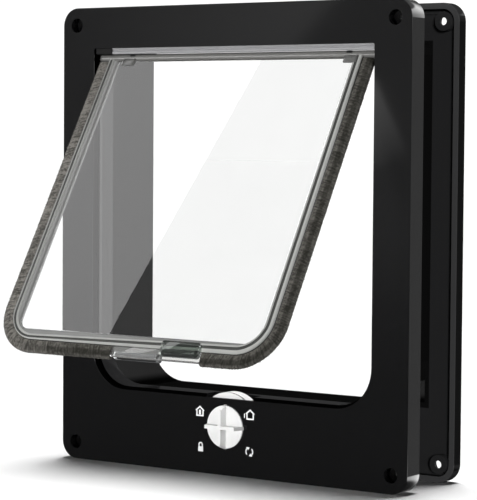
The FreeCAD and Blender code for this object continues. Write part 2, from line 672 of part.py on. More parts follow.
def u_outline(size, inset, top, own_corner=None):
    """A drawing of the pile's outer outline, set in, with a straight top edge at the height given."""
    half = size["flap_half"] - inset
    bottom = size["pile_bottom"] + inset
    corner = own_corner or size["pile_corner"] - inset

    def draw(sketch):
        low = bottom.value
        radius = corner.value
        side = half.value
        high = top.value
        first = sketch.GeometryCount
        sketch.addGeometry(Part.LineSegment(Vector(-side + radius, low, 0), Vector(side - radius, low, 0)))
        sketch.addGeometry(arc_through(Vector(side - radius, low + radius, 0), radius, -90))
        sketch.addGeometry(Part.LineSegment(Vector(side, low + radius, 0), Vector(side, high, 0)))
        sketch.addGeometry(Part.LineSegment(Vector(side, high, 0), Vector(-side, high, 0)))
        sketch.addGeometry(Part.LineSegment(Vector(-side, high, 0), Vector(-side, low + radius, 0)))
        sketch.addGeometry(arc_through(Vector(-side + radius, low + radius, 0), radius, 180))
        for before, after, kind in ((0, 1, "Tangent"), (1, 2, "Tangent"), (2, 3, "Coincident"),
                                    (3, 4, "Coincident"), (4, 5, "Tangent"), (5, 0, "Tangent")):
            sketch.addConstraint(Sketcher.Constraint(kind, first + before, 2, first + after, 1))
        sketch.addConstraint(Sketcher.Constraint("Horizontal", first))
        sketch.addConstraint(Sketcher.Constraint("Horizontal", first + 3))
        sketch.addConstraint(Sketcher.Constraint("Vertical", first + 2))
        sketch.addConstraint(Sketcher.Constraint("Vertical", first + 4))
        pin_point(sketch, "y", first, 1, bottom)
        pin_point(sketch, "x", first + 2, 1, half)
        pin_point(sketch, "y", first + 3, 1, top)
        pin_point(sketch, "x", first + 4, 1, -half)
        for arc in (1, 5):
            index = sketch.addConstraint(Sketcher.Constraint("Radius", first + arc, radius))
            sketch.setExpression(f"Constraints[{index}]", corner.text)
    return draw


def flap_panel(doc, size):
    """The clear panel: a thin sheet, a stepped band, a raised ridge and a tongue that carries the pile."""
    body = new_body(doc, "flap_panel")
    middle = size["hinge_y"]
    top = size["panel_top"]
    ridge_outside = size["pile_width"]
    band_outside = ridge_outside + size["ridge_width"]
    sheet_outside = band_outside + size["band_width"]
    tongue_outside = ridge_outside - size["tongue_reach"]
    slab(body, "ridge", middle - size["ridge_half"], size["ridge_half"] * 2,
         u_outline(size, ridge_outside, top))
    ring_back = size["ridge_half"] - size["band_half"]
    inside = u_outline(size, band_outside, top)
    cut(body, "front_step", middle - size["ridge_half"], ring_back, inside)
    cut(body, "back_step", middle + size["band_half"], ring_back, inside)
    deeper = size["band_half"] - size["sheet_half"]
    core = u_outline(size, sheet_outside, top, size["sheet_corner"])
    cut(body, "front_face", middle - size["band_half"], deeper, core)
    cut(body, "back_face", middle + size["sheet_half"], deeper, core)
    slab(body, "tongue", middle - size["tongue_half"], size["tongue_half"] * 2,
         u_outline(size, tongue_outside, top))
    tongue_bottom = size["pile_bottom"] + tongue_outside
    cut(body, "tongue_gap", middle - size["ridge_half"], size["ridge_half"] * 2,
        box(-size["pile_left_end"], size["pile_right_end"], tongue_bottom - size["tongue_reach"],
            size["pile_bottom"] + ridge_outside))
    bar_top = size["pile_bottom"] + band_outside
    slab(body, "bottom_bar", middle - size["bar_half"], size["bar_half"] * 2,
         box(-size["pile_left_end"], size["pile_right_end"], size["bar_bottom"], bar_top))
    return body


def pile_strip(doc, size, label, side):
    """One draught strip: down one side, round the corner and along the bottom to its end."""
    body = new_body(doc, label)
    middle = size["hinge_y"]
    thickness = size["pile_half"] * 2
    start = middle - size["pile_half"]
    top = size["panel_top"]
    slab(body, "strip", start, thickness, u_outline(size, Size(0, "0"), top))
    cut(body, "inside", start, thickness, u_outline(size, size["pile_width"], top))
    if side < 0:
        gone = box(-size["pile_left_end"], size["half_width"], -size["half_height"], size["half_height"])
    else:
        gone = box(-size["half_width"], size["pile_right_end"], -size["half_height"], size["half_height"])
    cut(body, "other_side", start, thickness, gone)
    groove_outside = size["pile_width"] - size["tongue_reach"]
    cut(body, "groove", middle - size["tongue_half"], size["tongue_half"] * 2,
        u_outline(size, groove_outside, top))
    return body


def flap_rail(doc, size):
    """The clear hinge rail: a barrel, a leaf on the panel's top edge and two clips over its face."""
    body = new_body(doc, "flap_rail")
    middle = size["hinge_y"]
    height = size["hinge_height"]
    half = size["flap_half"]
    hinge_place = [(middle, height)]
    slab(body, "barrel", -half, half * 2, circles(hinge_place, size["rail_radius"]), axis="x")
    leaf_front = middle - size["rail_leaf"]
    slab(body, "leaf", leaf_front, size["rail_leaf"] * 2, box(-half, half, size["panel_top"], height))
    clip_front = middle - size["sheet_half"] - size["clip_thickness"]
    clip_bottom = height - size["clip_drop"]

    def draw_clips(sketch):
        for side in (-1, 1):
            centre = size["clip_place"] * side
            draw_clip(sketch, centre, size["clip_half"], clip_bottom, height - size["rail_leaf"])
    slab(body, "clips", clip_front, size["clip_thickness"], draw_clips)

    def draw_slots(sketch):
        for side in (-1, 1):
            centre = size["clip_place"] * side - (size["clip_half"] - size["clip_slot_half"]) * side
            draw_box(sketch, centre - size["clip_slot_half"], centre + size["clip_slot_half"],
                     height + size["clip_slot_rise"], height + size["rail_radius"] * 2)
    cut(body, "clip_slots", middle - size["rail_radius"], size["rail_radius"] * 2, draw_slots)
    bore_start = half - size["pin_reach"]
    for name, start in (("left_bore", -half), ("right_bore", bore_start)):
        cut(body, name, start, size["pin_reach"], circles(hinge_place, size["pin_radius"]), axis="x")
    return body


def draw_clip(sketch, centre, half, bottom, top):
    """A clip with cut lower corners."""
    nick = half / 3
    draw_polygon(sketch, [(centre - half + nick, bottom), (centre + half - nick, bottom),
                          (centre + half, bottom + nick), (centre + half, top),
                          (centre - half, top), (centre - half, bottom + nick)])


def hinge_pin(doc, size, label, side):
    """A steel pin pressed in the rail's end; it turns in the frame's boss."""
    body = new_body(doc, label)
    inner = size["flap_half"] - size["pin_reach"]
    length = size["pin_end"] - inner
    start = inner if side > 0 else -size["pin_end"]
    slab(body, "rod", start, length, circles([(size["hinge_y"], size["hinge_height"])], size["pin_radius"]),
         axis="x")
    return body


def magnet_cover(doc, size):
    """The clear block behind the bottom bar that holds the flap's magnet."""
    body = new_body(doc, "magnet_cover")
    middle = size["hinge_y"]
    under_ridge = size["pile_bottom"] + size["pile_width"]
    bottom = size["bar_bottom"]
    top = bottom + size["cover_height"]
    back = middle + size["cover_back"]
    bar_back = middle + size["bar_half"]
    ridge_back = middle + size["ridge_half"]
    soft = size["cover_soft"]
    section = [(bar_back, bottom), (back - soft, bottom), (back, bottom + soft), (back, top - soft),
               (back - soft, top), (ridge_back, top), (ridge_back, under_ridge), (bar_back, under_ridge)]
    start = -size["cover_left"]
    length = size["cover_left"] + size["cover_right"]
    slab(body, "block", start, length, lambda sketch: draw_polygon(sketch, section), axis="x")
    magnet = magnet_box(size)
    pocket = box(*magnet["section"])
    cut(body, "magnet_room", magnet["start"], magnet["length"], pocket, axis="x")
    return body


def magnet_box(size):
    """The flap magnet's place: against the bottom bar, inside the cover's walls."""
    middle = size["hinge_y"]
    wall = size["cover_wall"]
    under_ridge = size["pile_bottom"] + size["pile_width"]
    return {
        "start": -size["cover_left"] + wall * 2,
        "length": size["cover_left"] + size["cover_right"] - wall * 4,
        "section": (middle + size["bar_half"], middle + size["cover_back"] - wall,
                    size["bar_bottom"] + wall, under_ridge - wall / 2),
    }


def flap_magnet(doc, size):
    """The bar magnet inside the cover."""
    body = new_body(doc, "flap_magnet")
    magnet = magnet_box(size)
    slab(body, "bar", magnet["start"], magnet["length"], box(*magnet["section"]), axis="x")
    return body


def grip_block(doc, size):
    """The clear hollow block on the flap's front that a finger pulls."""
    body = new_body(doc, "grip_block")
    middle = size["hinge_y"]
    front = middle - size["grip_front"]
    bar_front = middle - size["bar_half"]
    ridge_front = middle - size["ridge_half"]
    top = size["bar_bottom"] + size["grip_high"]
    bottom = size["bar_bottom"] + size["grip_low"]
    under_ridge = size["pile_bottom"] + size["pile_width"]
    over_ridge = under_ridge + size["ridge_width"]
    band_front = middle - size["band_half"]
    soft = size["grip_soft"]
    section = [(bar_front, bottom), (front + soft, bottom), (front, bottom + soft), (front, top - soft),
               (front + soft, top), (band_front, top), (band_front, over_ridge), (ridge_front, over_ridge),
               (ridge_front, under_ridge), (bar_front, under_ridge)]
    length = size["grip_right"] - size["grip_left"]
    slab(body, "block", size["grip_left"], length, lambda sketch: draw_polygon(sketch, section), axis="x")
    wall = size["grip_wall"]
    cut(body, "hollow", size["grip_left"] + wall, length - wall * 2,
        box(front + wall, ridge_front - wall / 2, bottom, top - wall), axis="x")
    return body


# Lock

def lock_cam(doc, size):
    """The white drum with a blocking lobe before the flap's edge and one behind it.

    Seen from the front, the front lobe fills the right and the bottom, and the rear lobe the bottom and
    the left. So of the four quarter turns one has no lobe up, one has the front lobe up, one both and one
    only the rear lobe.
    """
    body = new_body(doc, "lock_cam")
    lock_z = size["lock_z"]
    axis_place = [(0, lock_z)]
    slab(body, "drum", size["drum_front"], size["drum_thickness"], circles(axis_place, size["drum_radius"]))
    slab(body, "front_lobe", size["drum_front"], size["front_lobe"],
         lambda sketch: draw_sector(sketch, lock_z, size["lobe_radius"], -130, 40))
    slab(body, "neck", size["drum_back"], size["neck_length"], circles(axis_place, size["neck_radius"]))
    slab(body, "rear_hub", size["lobe_front"], size["rear_lobe"], circles(axis_place, size["rear_hub"]))
    slab(body, "rear_lobe", size["lobe_front"], size["rear_lobe"],
         lambda sketch: draw_sector(sketch, lock_z, size["lobe_radius"], 140, 310))
    notch_places = []
    diagonal = round(math.sqrt(0.5), 6)
    for side in (-1, 1):
        for rise in (-1, 1):
            across = size["drum_radius"] * (side * diagonal)
            notch_places.append((across, lock_z + size["drum_radius"] * (rise * diagonal)))
    cut(body, "detent_notches", size["drum_front"] + size["front_lobe"],
        size["drum_thickness"] - size["front_lobe"], circles(notch_places, size["detent_notch"]))
    shank_room = size["shank_depth"] + size["face"] - size["drum_front"]
    cut(body, "shank_socket", size["drum_front"], shank_room, circles(axis_place, size["shank_radius"]))
    cut(body, "screw_hole", size["drum_front"], size["cam_back"] - size["drum_front"],
        circles(axis_place, size["screw_core"]))
    head_seat = size["cam_back"] - size["head_thickness"]
    cut(body, "head_seat", head_seat, size["head_thickness"], circles(axis_place, size["screw_head"]))
    return body


def lock_knob(doc, size):
    """The white knob: a thin disc, a cross of tapering ribs and the shank that turns the cam."""
    body = new_body(doc, "lock_knob")
    lock_z = size["lock_z"]
    disc_back = size["face"] - size["knob_gap"]
    disc_front = disc_back - size["knob_disc"]
    slab(body, "disc", disc_front, size["knob_disc"], circles([(0, lock_z)], size["knob_radius"]))
    shank_length = size["shank_depth"] + size["knob_gap"]
    slab(body, "shank", disc_back, shank_length, circles([(0, lock_z)], size["shank_radius"]))
    crest = disc_front - size["grip_rise"]
    root = size["cross_root"]
    top = size["cross_crest"]
    half = size["cross_half"]
    level = [(-root, disc_back), (-top, crest), (top, crest), (root, disc_back)]
    slab(body, "level_rib", lock_z - half, half * 2, lambda sketch: draw_polygon(sketch, level), axis="z")
    upright = [(disc_back, lock_z - root), (crest, lock_z - top), (crest, lock_z + top),
               (disc_back, lock_z + root)]
    slab(body, "upright_rib", -half, half * 2, lambda sketch: draw_polygon(sketch, upright), axis="x")
    core_end = size["face"] + size["shank_depth"]
    bore = size["lock_screw_reach"] + size["core_room"]
    cut(body, "screw_core", core_end - bore, bore,
        circles([(0, lock_z)], size["screw_core"]))
    return body


def lock_screw(doc, size):
    """The screw that clamps the cam on the knob's shank, from behind."""
    body = new_body(doc, "lock_screw")
    place = [(0, size["lock_z"])]
    head_back = size["cam_back"]
    head_seat = head_back - size["head_thickness"]
    tip = size["face"] + size["shank_depth"] - size["lock_screw_reach"]
    slab(body, "head", head_seat, size["head_thickness"], circles(place, size["screw_head"]))
    slab(body, "core", tip, head_seat - tip, circles(place, size["screw_core"]))
    half = size["slot_half"]
    slot = box(-size["screw_head"], size["screw_head"], size["lock_z"] - half, size["lock_z"] + half)
    cut(body, "slot", head_back - size["slot_depth"], size["slot_depth"], slot)
    return body


def detent_spring(doc, size):
    """The bent steel strip whose nose faces a notch of the drum at each quarter turn."""
    body = new_body(doc, "detent_spring")
    inner = -size["spring_drop"]
    outer = inner - size["spring_thickness"]
    end = size["spring_half"]
    foot = size["nose_half"]
    crest = -size["drum_radius"] - size["nose_gap"]
    shift = size["spring_thickness"]
    strip = [(-end, outer), (-foot, outer), (-1.0 * shift, crest - shift), (shift, crest - shift),
             (foot, outer), (end, outer), (end, inner), (foot - shift / 2, inner), (shift, crest),
             (-1.0 * shift, crest), (shift / 2 - foot, inner), (-end, inner)]
    points = [turn_about_lock(size, across, up) for across, up in strip]
    slab(body, "strip", size["face"] + size["spring_start"], size["spring_width"],
         lambda sketch: draw_polygon(sketch, points))
    return body


# Frame magnet

def holder_screw_height(size):
    """The holder screw's height, on the tab below the magnet."""
    bottom = size["collar_under"] - size["magnet_height"] - size["holder_wall"] * 2
    return bottom - size["holder_tab"] / 2


def magnet_holder(doc, size):
    """The black carrier that hangs under the sill beside the lock and holds the frame's magnet."""
    body = new_body(doc, "magnet_holder")
    wall = size["holder_wall"]
    left = size["magnet_left"] - wall
    right = size["magnet_right"] + wall
    top = size["collar_under"]
    bottom = top - size["magnet_height"] - wall * 2
    depth = size["magnet_depth"] + wall
    slab(body, "case", size["holder_y"], depth, box(left, right, bottom, top))
    tab_half = size["screw_head"] + size["tab_margin"]
    slab(body, "tab", size["holder_y"], size["tab_thickness"],
         box(size["holder_post"] - tab_half, size["holder_post"] + tab_half,
             bottom - size["holder_tab"], bottom))
    cut(body, "magnet_room", size["holder_y"] + wall, size["magnet_depth"],
        box(size["magnet_left"], size["magnet_right"], bottom + wall, top - wall))
    cut(body, "screw_hole", size["holder_y"], size["tab_thickness"],
        circles([(size["holder_post"], holder_screw_height(size))], size["screw_core"]))
    return body


def frame_magnet(doc, size):
    """The magnet in the holder."""
    body = new_body(doc, "frame_magnet")
    wall = size["holder_wall"]
    top = size["collar_under"] - wall
    bottom = top - size["magnet_height"]
    slab(body, "bar", size["holder_y"] + wall, size["magnet_depth"],
         box(size["magnet_left"], size["magnet_right"], bottom, top))
    return body


def holder_screw(doc, size):
    """The screw through the holder's tab."""
    body = new_body(doc, "holder_screw")
    place = [(size["holder_post"], holder_screw_height(size))]
    seat = size["holder_y"] + size["tab_thickness"]
    tip = size["skin_back"] + size["screw_short"]
    slab(body, "core", tip, seat - tip, circles(place, size["screw_core"]))
    slab(body, "head", seat, size["head_thickness"], circles(place, size["screw_head"]))
    return body


def build():
    """Build every sub-part, check the document and write the shapes."""
    doc = FreeCAD.newDocument("cat_flap")
    size = fill_sheet(doc)
    derive(size)
    fixed = [front_frame(doc, size), rear_frame(doc, size), lintel_bar(doc, size), bar_clip(doc, size),
             lock_cam(doc, size), lock_knob(doc, size), lock_screw(doc, size), detent_spring(doc, size),
             magnet_holder(doc, size), frame_magnet(doc, size), holder_screw(doc, size)]
    swung = [flap_panel(doc, size), flap_rail(doc, size),
             pile_strip(doc, size, "pile_strip_left", -1), pile_strip(doc, size, "pile_strip_right", 1),
             hinge_pin(doc, size, "hinge_pin_left", -1), hinge_pin(doc, size, "hinge_pin_right", 1),
             magnet_cover(doc, size), flap_magnet(doc, size), grip_block(doc, size)]
    for body in swung:
        swing_open(body, size)
    doc.recompute()
    for item in doc.Objects:
        if "Invalid" in item.State or "Error" in item.State:
            raise RuntimeError(f"{item.Label} is {item.State}")
    os.makedirs("parts", exist_ok=True)
    for body in fixed + swung:
        shape = body.Shape
        if shape.isNull() or not shape.isValid():
            raise RuntimeError(f"{body.Label} has no valid shape")
        shape.exportStep(f"parts/{body.Label}.step")
        print(f"{body.Label}: {len(shape.Solids)} solid, {shape.Volume / 1000:.2f} cm3")


build()
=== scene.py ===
# %% [markdown]
# # A locking cat flap
# The part is a glossy black front frame, a matching rear frame whose sleeve lines the door, and a clear
# flap that hangs from a rail and is edged with brushed pile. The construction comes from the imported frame.
# This lesson adds what a maker would call the finish: the moulded edges, the clear plastic, the pile's
# fibres, the printed signs and the studio around it.

# %% Load the frame
import json
import math
import random

import bmesh
import bpy
from mathutils import Matrix, Vector, noise


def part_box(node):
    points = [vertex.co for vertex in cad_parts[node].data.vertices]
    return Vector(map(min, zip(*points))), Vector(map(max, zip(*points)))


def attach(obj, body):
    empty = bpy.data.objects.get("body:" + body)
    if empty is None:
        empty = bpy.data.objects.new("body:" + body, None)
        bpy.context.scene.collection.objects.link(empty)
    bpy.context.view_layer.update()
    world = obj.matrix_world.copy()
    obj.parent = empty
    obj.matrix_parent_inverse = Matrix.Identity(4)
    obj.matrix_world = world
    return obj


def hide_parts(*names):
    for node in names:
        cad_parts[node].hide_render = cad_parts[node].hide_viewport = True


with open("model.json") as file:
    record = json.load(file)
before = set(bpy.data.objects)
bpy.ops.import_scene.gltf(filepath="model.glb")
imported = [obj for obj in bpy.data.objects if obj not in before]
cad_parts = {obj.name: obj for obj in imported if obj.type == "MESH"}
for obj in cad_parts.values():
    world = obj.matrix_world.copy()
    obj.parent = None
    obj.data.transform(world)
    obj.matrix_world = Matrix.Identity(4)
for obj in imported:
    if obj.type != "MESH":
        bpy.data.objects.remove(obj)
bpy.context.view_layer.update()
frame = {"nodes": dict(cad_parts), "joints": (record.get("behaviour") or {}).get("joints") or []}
nodes = frame["nodes"]
MM = 0.001

# %% [markdown]
# ## The camera
# A photograph fixes where its camera stood. Here the two frames, which are known rectangles, gave the
# place, the three angles and the focal length in pixels. A matrix pasted in would do the same, but angles
# are easier to read and to change.

# %% Camera
IMAGE_WIDTH = 477
IMAGE_HEIGHT = 500
FOCAL_PIXELS = 2198.85
SENSOR_MM = 36.0
CAMERA_PLACE = Vector((0.74776, -1.07731, 0.06418))
AZIMUTH = math.radians(34.805)
ELEVATION = math.radians(3.065)
ROLL = math.radians(0.417)

back = Vector((math.sin(AZIMUTH) * math.cos(ELEVATION), -math.cos(AZIMUTH) * math.cos(ELEVATION),
               math.sin(ELEVATION)))
level_right = Vector((math.cos(AZIMUTH), math.sin(AZIMUTH), 0.0))
level_up = back.cross(level_right)
right = level_right * math.cos(ROLL) + level_up * math.sin(ROLL)
up = back.cross(right)
camera_data = bpy.data.cameras.new("camera")
camera_data.sensor_width = SENSOR_MM
camera_data.lens = FOCAL_PIXELS * SENSOR_MM / max(IMAGE_WIDTH, IMAGE_HEIGHT)
camera_data.clip_start = 0.05
camera_data.clip_end = 50.0
camera = bpy.data.objects.new("camera", camera_data)
camera.matrix_world = Matrix.Translation(CAMERA_PLACE) @ Matrix((right, up, back)).transposed().to_4x4()
bpy.context.scene.collection.objects.link(camera)
bpy.context.scene.camera = camera
bpy.context.scene.view_settings.view_transform = "Standard"
print("lens", round(camera_data.lens, 2), "mm")

# %% [markdown]
# ## Pixels and planes
# A glossy plane shows the studio like a mirror, so a card has to stand exactly where the mirrored camera
# ray looks. These helpers turn a pixel into a ray, find where it meets a plane, and follow it after the
# mirror. The cards at the end are placed with them once, and then stand still for every view.

# %% Rays
def ray_through(pixel):
    """The direction of the camera ray through a pixel."""
    across = (pixel[0] - IMAGE_WIDTH / 2) / FOCAL_PIXELS
    rise = (IMAGE_HEIGHT / 2 - pixel[1]) / FOCAL_PIXELS
    return (right * across + up * rise - back).normalized()


def meets(pixel, point, normal):
    """Where the ray through a pixel meets a plane."""
    ray = ray_through(pixel)
    return CAMERA_PLACE + ray * ((point - CAMERA_PLACE).dot(normal) / ray.dot(normal))


def mirrored(pixel, plane, reach):
    """The place that a pixel of a glossy plane shows, at a distance from the plane."""
    point, normal = plane
    ray = ray_through(pixel)
    return meets(pixel, point, normal) + (ray - normal * (2.0 * ray.dot(normal))) * reach


print("rays run from", [round(value, 3) for value in CAMERA_PLACE])

# %% [markdown]
# ## The places that the pieces share
# The frame gives most of them: the face of the front frame, the hinge line and the angle at which the flap
# is pictured. A point of the flap is written as its distance across, its drop below the hinge line and its
# depth behind the flap's middle plane, which keeps the flap's pieces as simple as if it hung straight down.

# %% Shared places
front_low, front_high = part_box("front_frame")
FACE = front_low.y
FLOOR_HEIGHT = front_low.z
hinge = next(joint for joint in frame["joints"] if joint["name"] == "flap_hinge")
HINGE = Vector(hinge["pos_m"])
OPEN_ANGLE = math.radians(31.0)
FLAP_DOWN = Vector((0.0, -math.sin(OPEN_ANGLE), -math.cos(OPEN_ANGLE)))
FLAP_BACK = Vector((0.0, math.cos(OPEN_ANGLE), -math.sin(OPEN_ANGLE)))


def on_flap(across, drop, depth):
    """A point of the flap: millimetres across, below the hinge line and behind the middle plane."""
    return HINGE + Vector((across * MM, 0.0, 0.0)) + FLAP_DOWN * (drop * MM) + FLAP_BACK * (depth * MM)


def flap_box(node):
    """Lowest and highest across, drop and depth of a flap node, in millimetres."""
    places = [vertex.co - HINGE for vertex in nodes[node].data.vertices]
    rows = [(place.x / MM, place.dot(FLAP_DOWN) / MM, place.dot(FLAP_BACK) / MM) for place in places]
    return Vector(map(min, zip(*rows))), Vector(map(max, zip(*rows)))


print("face at", round(FACE / MM, 2), "mm, floor at", round(FLOOR_HEIGHT / MM, 1), "mm")

# %% [markdown]
# ## Shader maths as plain arithmetic
# Node trees are easier to read as formulas. A Wire is one output of a tree, and adding or multiplying
# wires adds the Math nodes. A Finish is a new material with its Principled shader, and its node method
# makes every other kind of node.

# %% Wires
def feed(tree, socket, value):
    """Link a wire to a socket, or set the socket to a plain value."""
    if isinstance(value, Wire):
        tree.links.new(value.socket, socket)
    else:
        socket.default_value = value


class Wire:
    """One output of a shader tree that takes part in arithmetic."""

    def __init__(self, tree, socket):
        self.tree = tree
        self.socket = socket

    def math(self, operation, first, second=0.0):
        """One Math node."""
        node = self.tree.nodes.new("ShaderNodeMath")
        node.operation = operation
        feed(self.tree, node.inputs[0], first)
        feed(self.tree, node.inputs[1], second)
        return Wire(self.tree, node.outputs[0])

    def __add__(self, other):
        return self.math("ADD", self, other)

    def __radd__(self, other):
        return self.math("ADD", other, self)

    def __sub__(self, other):
        return self.math("SUBTRACT", self, other)

    def __rsub__(self, other):
        return self.math("SUBTRACT", other, self)

    def __mul__(self, other):
        return self.math("MULTIPLY", self, other)

    def __rmul__(self, other):
        return self.math("MULTIPLY", other, self)

    def __truediv__(self, other):
        return self.math("DIVIDE", self, other)

    def above(self, limit):
        """1 where the value is over a limit."""
        return self.math("GREATER_THAN", self, limit)

    def under(self, limit):
        """1 where the value is not over a limit."""
        return 1.0 - self.above(limit)

    def between(self, low, high):
        """A smooth step from 0 at low to 1 at high."""
        node = self.tree.nodes.new("ShaderNodeMapRange")
        node.interpolation_type = "SMOOTHSTEP"
        feed(self.tree, node.inputs["Value"], self)
        node.inputs["From Min"].default_value = low
        node.inputs["From Max"].default_value = high
        return Wire(self.tree, node.outputs["Result"])

    def band(self, rise_from, rise_to, fall_from, fall_to):
        """1 in a band whose two edges are smooth steps."""
        return self.between(rise_from, rise_to) * (1.0 - self.between(fall_from, fall_to))


print("wires ready")


# %% Trees and finishes
class Tree:
    """A node tree with one method for every kind of node."""

    def __init__(self, tree):
        self.tree = tree

    def node(self, kind, settings, values, output=0):
        """Add a node: its settings first, then its sockets' values or links."""
        node = self.tree.nodes.new(kind)
        for name, value in settings.items():
            setattr(node, name, value)
        for socket, value in values.items():
            feed(self.tree, node.inputs[socket], value)
        return Wire(self.tree, node.outputs[output])

    def place(self, scale=1.0, stretch=(1.0, 1.0, 1.0)):
        """The piece's own coordinates in metres, scaled."""
        spot = self.node("ShaderNodeTexCoord", {}, {}, "Object")
        scales = [scale * value for value in stretch]
        return self.node("ShaderNodeVectorMath", {"operation": "MULTIPLY"}, {0: spot, 1: scales})

    def axis(self, vector, letter):
        """One of a vector's three numbers."""
        return self.node("ShaderNodeSeparateXYZ", {}, {0: vector}, letter)

    def spot(self):
        """Distance from the middle plane, depth and height of the shaded point, in metres."""
        place = self.place()
        sideways, depth, height = [self.axis(place, letter) for letter in "XYZ"]
        return sideways.math("ABSOLUTE", sideways), depth, height

    def cloud(self, scale, detail=2.0, stretch=(1.0, 1.0, 1.0), roughness=0.5):
        """Soft noise between 0 and 1, with features about 1 / scale metres wide."""
        place = self.place(scale, stretch)
        values = {"Vector": place, "Scale": 1.0, "Detail": detail, "Roughness": roughness}
        return self.node("ShaderNodeTexNoise", {}, values, "Fac")

    def mix(self, factor, first, second):
        """A colour between two colours."""
        return self.node("ShaderNodeMix", {"data_type": "RGBA"}, {0: factor, 6: first, 7: second}, 2)

    def bump(self, height, distance, strength=1.0):
        """A normal from a height, where distance is the height's depth in metres."""
        values = {"Height": height, "Distance": distance, "Strength": strength}
        return self.node("ShaderNodeBump", {}, values)


class Finish(Tree):
    """A new material and its Principled shader."""

    def __init__(self, name, **constants):
        self.material = bpy.data.materials.new(name)
        self.material.use_nodes = True
        super().__init__(self.material.node_tree)
        self.shader = self.tree.nodes["Principled BSDF"]
        self.set(**constants)

    def set(self, **values):
        """Set or link the shader's sockets, named in lower case with underscores."""
        for name, value in values.items():
            socket = next(item for item in self.shader.inputs if item.name.lower().replace(" ", "_") == name)
            feed(self.tree, socket, value)


def grey(level, blue=0.0):
    """A neutral colour, if wanted with a little more or less blue."""
    return (level, level, level + blue, 1)


print("finishes can be made")

# %% [markdown]
# ## Glossy black mouldings
# Both frames are black ABS from a polished mould, but only where hands and eyes reach: moulds are left
# finely textured inside the passage. A clear coat over a black that has no gloss of its own makes both,
# because a coat can be switched off by place. The places are read from the piece's own coordinates, so they
# stay put when the piece moves. The black's colour is varied by place too, as painted light and shade:
# lighter in the sleeves and on the rear rim, darker in the mouth and on the rear frame's outside.

# %% Masks by place
SLEEVE_HALF = 0.1012
OPENING_HALF = 0.1008
OPENING_TOP = 0.115
OPENING_SILL = -0.094
SCREW_ACROSS = 0.11425
SCREW_UP = 0.12925
EDGE_ROOM = 0.0002
FACE_ROOM = 0.0003


def passage_mask(across, up, half, sill, top):
    """1 on what lines the passage, 0 outside it."""
    return across.under(half) * up.above(sill) * up.under(top)


def screw_mask(across, up, radius):
    """1 within a radius of the four screw axes."""
    offset_across = across - SCREW_ACROSS
    offset_up = up.math("ABSOLUTE", up) - SCREW_UP
    return (offset_across * offset_across + offset_up * offset_up).under(radius * radius)


def black_coat(finish, black, coat):
    """What both frames share: coated black with faint haze, dust and waves."""
    haze = finish.cloud(35.0, 4.0)
    specks = finish.cloud(2600.0, 1.0).between(0.7, 0.8)
    finish.set(base_color=finish.mix(specks * 0.1 * coat, black, grey(0.03)),
               coat_weight=coat * (1.0 - specks * 0.3), roughness=0.45 + haze * 0.2,
               normal=finish.bump(finish.cloud(28.0, 1.0), 0.00003, 0.3))
    return finish.material


print("opening", round(2 * OPENING_HALF / MM, 1), "mm wide")

# %% Front black
MOUTH_BACK = FACE + 0.0048
SHOULDER_DEPTH = 0.0025
SEAT_RADIUS = 0.0044
SEAT_DEPTH = 0.006


def front_black():
    """The room-side frame: glossy outside, matte in the mouth, faintly glossy down the sleeve's sides."""
    finish = Finish("front_black", specular_ior_level=0.0, coat_ior=1.45, coat_roughness=0.07)
    across, depth, up = finish.spot()
    sill = OPENING_SILL - EDGE_ROOM
    inside = passage_mask(across, up, OPENING_HALF + EDGE_ROOM, sill, OPENING_TOP + EDGE_ROOM)
    inside = inside * depth.above(FACE + FACE_ROOM)
    sleeve = inside * depth.above(MOUTH_BACK)
    sides = sleeve * up.between(-0.075, -0.068)
    shoulder = sides * depth.under(MOUTH_BACK + SHOULDER_DEPTH)
    seat = screw_mask(across, up, SEAT_RADIUS) * depth.above(FACE + SEAT_DEPTH)
    # Painted light: the sleeve's lining is painted lighter than the outside, and lighter still on its left,
    # where the left jamb's shadow falls.
    past_jamb_shadow = finish.axis(finish.place(), "X").between(-0.072, -0.06)
    sleeve_painted_light = finish.mix(past_jamb_shadow, grey(0.018, 0.0005), grey(0.0075, 0.0005))
    # Painted shade: the mouth is painted a darker black than the outside.
    plain = finish.mix(inside, grey(0.0045, 0.0002), grey(0.0006))
    shade = finish.mix(seat, finish.mix(sleeve, plain, sleeve_painted_light), grey(0.05))
    coat = (1.0 - inside) * (1.0 - seat * 0.8) + sides * 0.56 + shoulder * 0.4 + sleeve * 0.04
    return black_coat(finish, shade, coat)


FRONT_BLACK = front_black()
print("finish:", FRONT_BLACK.name)

# %% Rear black
RIM_PLACE = 0.040
GARDEN_PLACE = 0.0485
OUTER_SIDE = 0.1244
OUTER_UP = 0.1394
BOSS_RADIUS = 0.007
SLEEVE_WALL = 0.0031
FLOOR_WALL = 0.0035


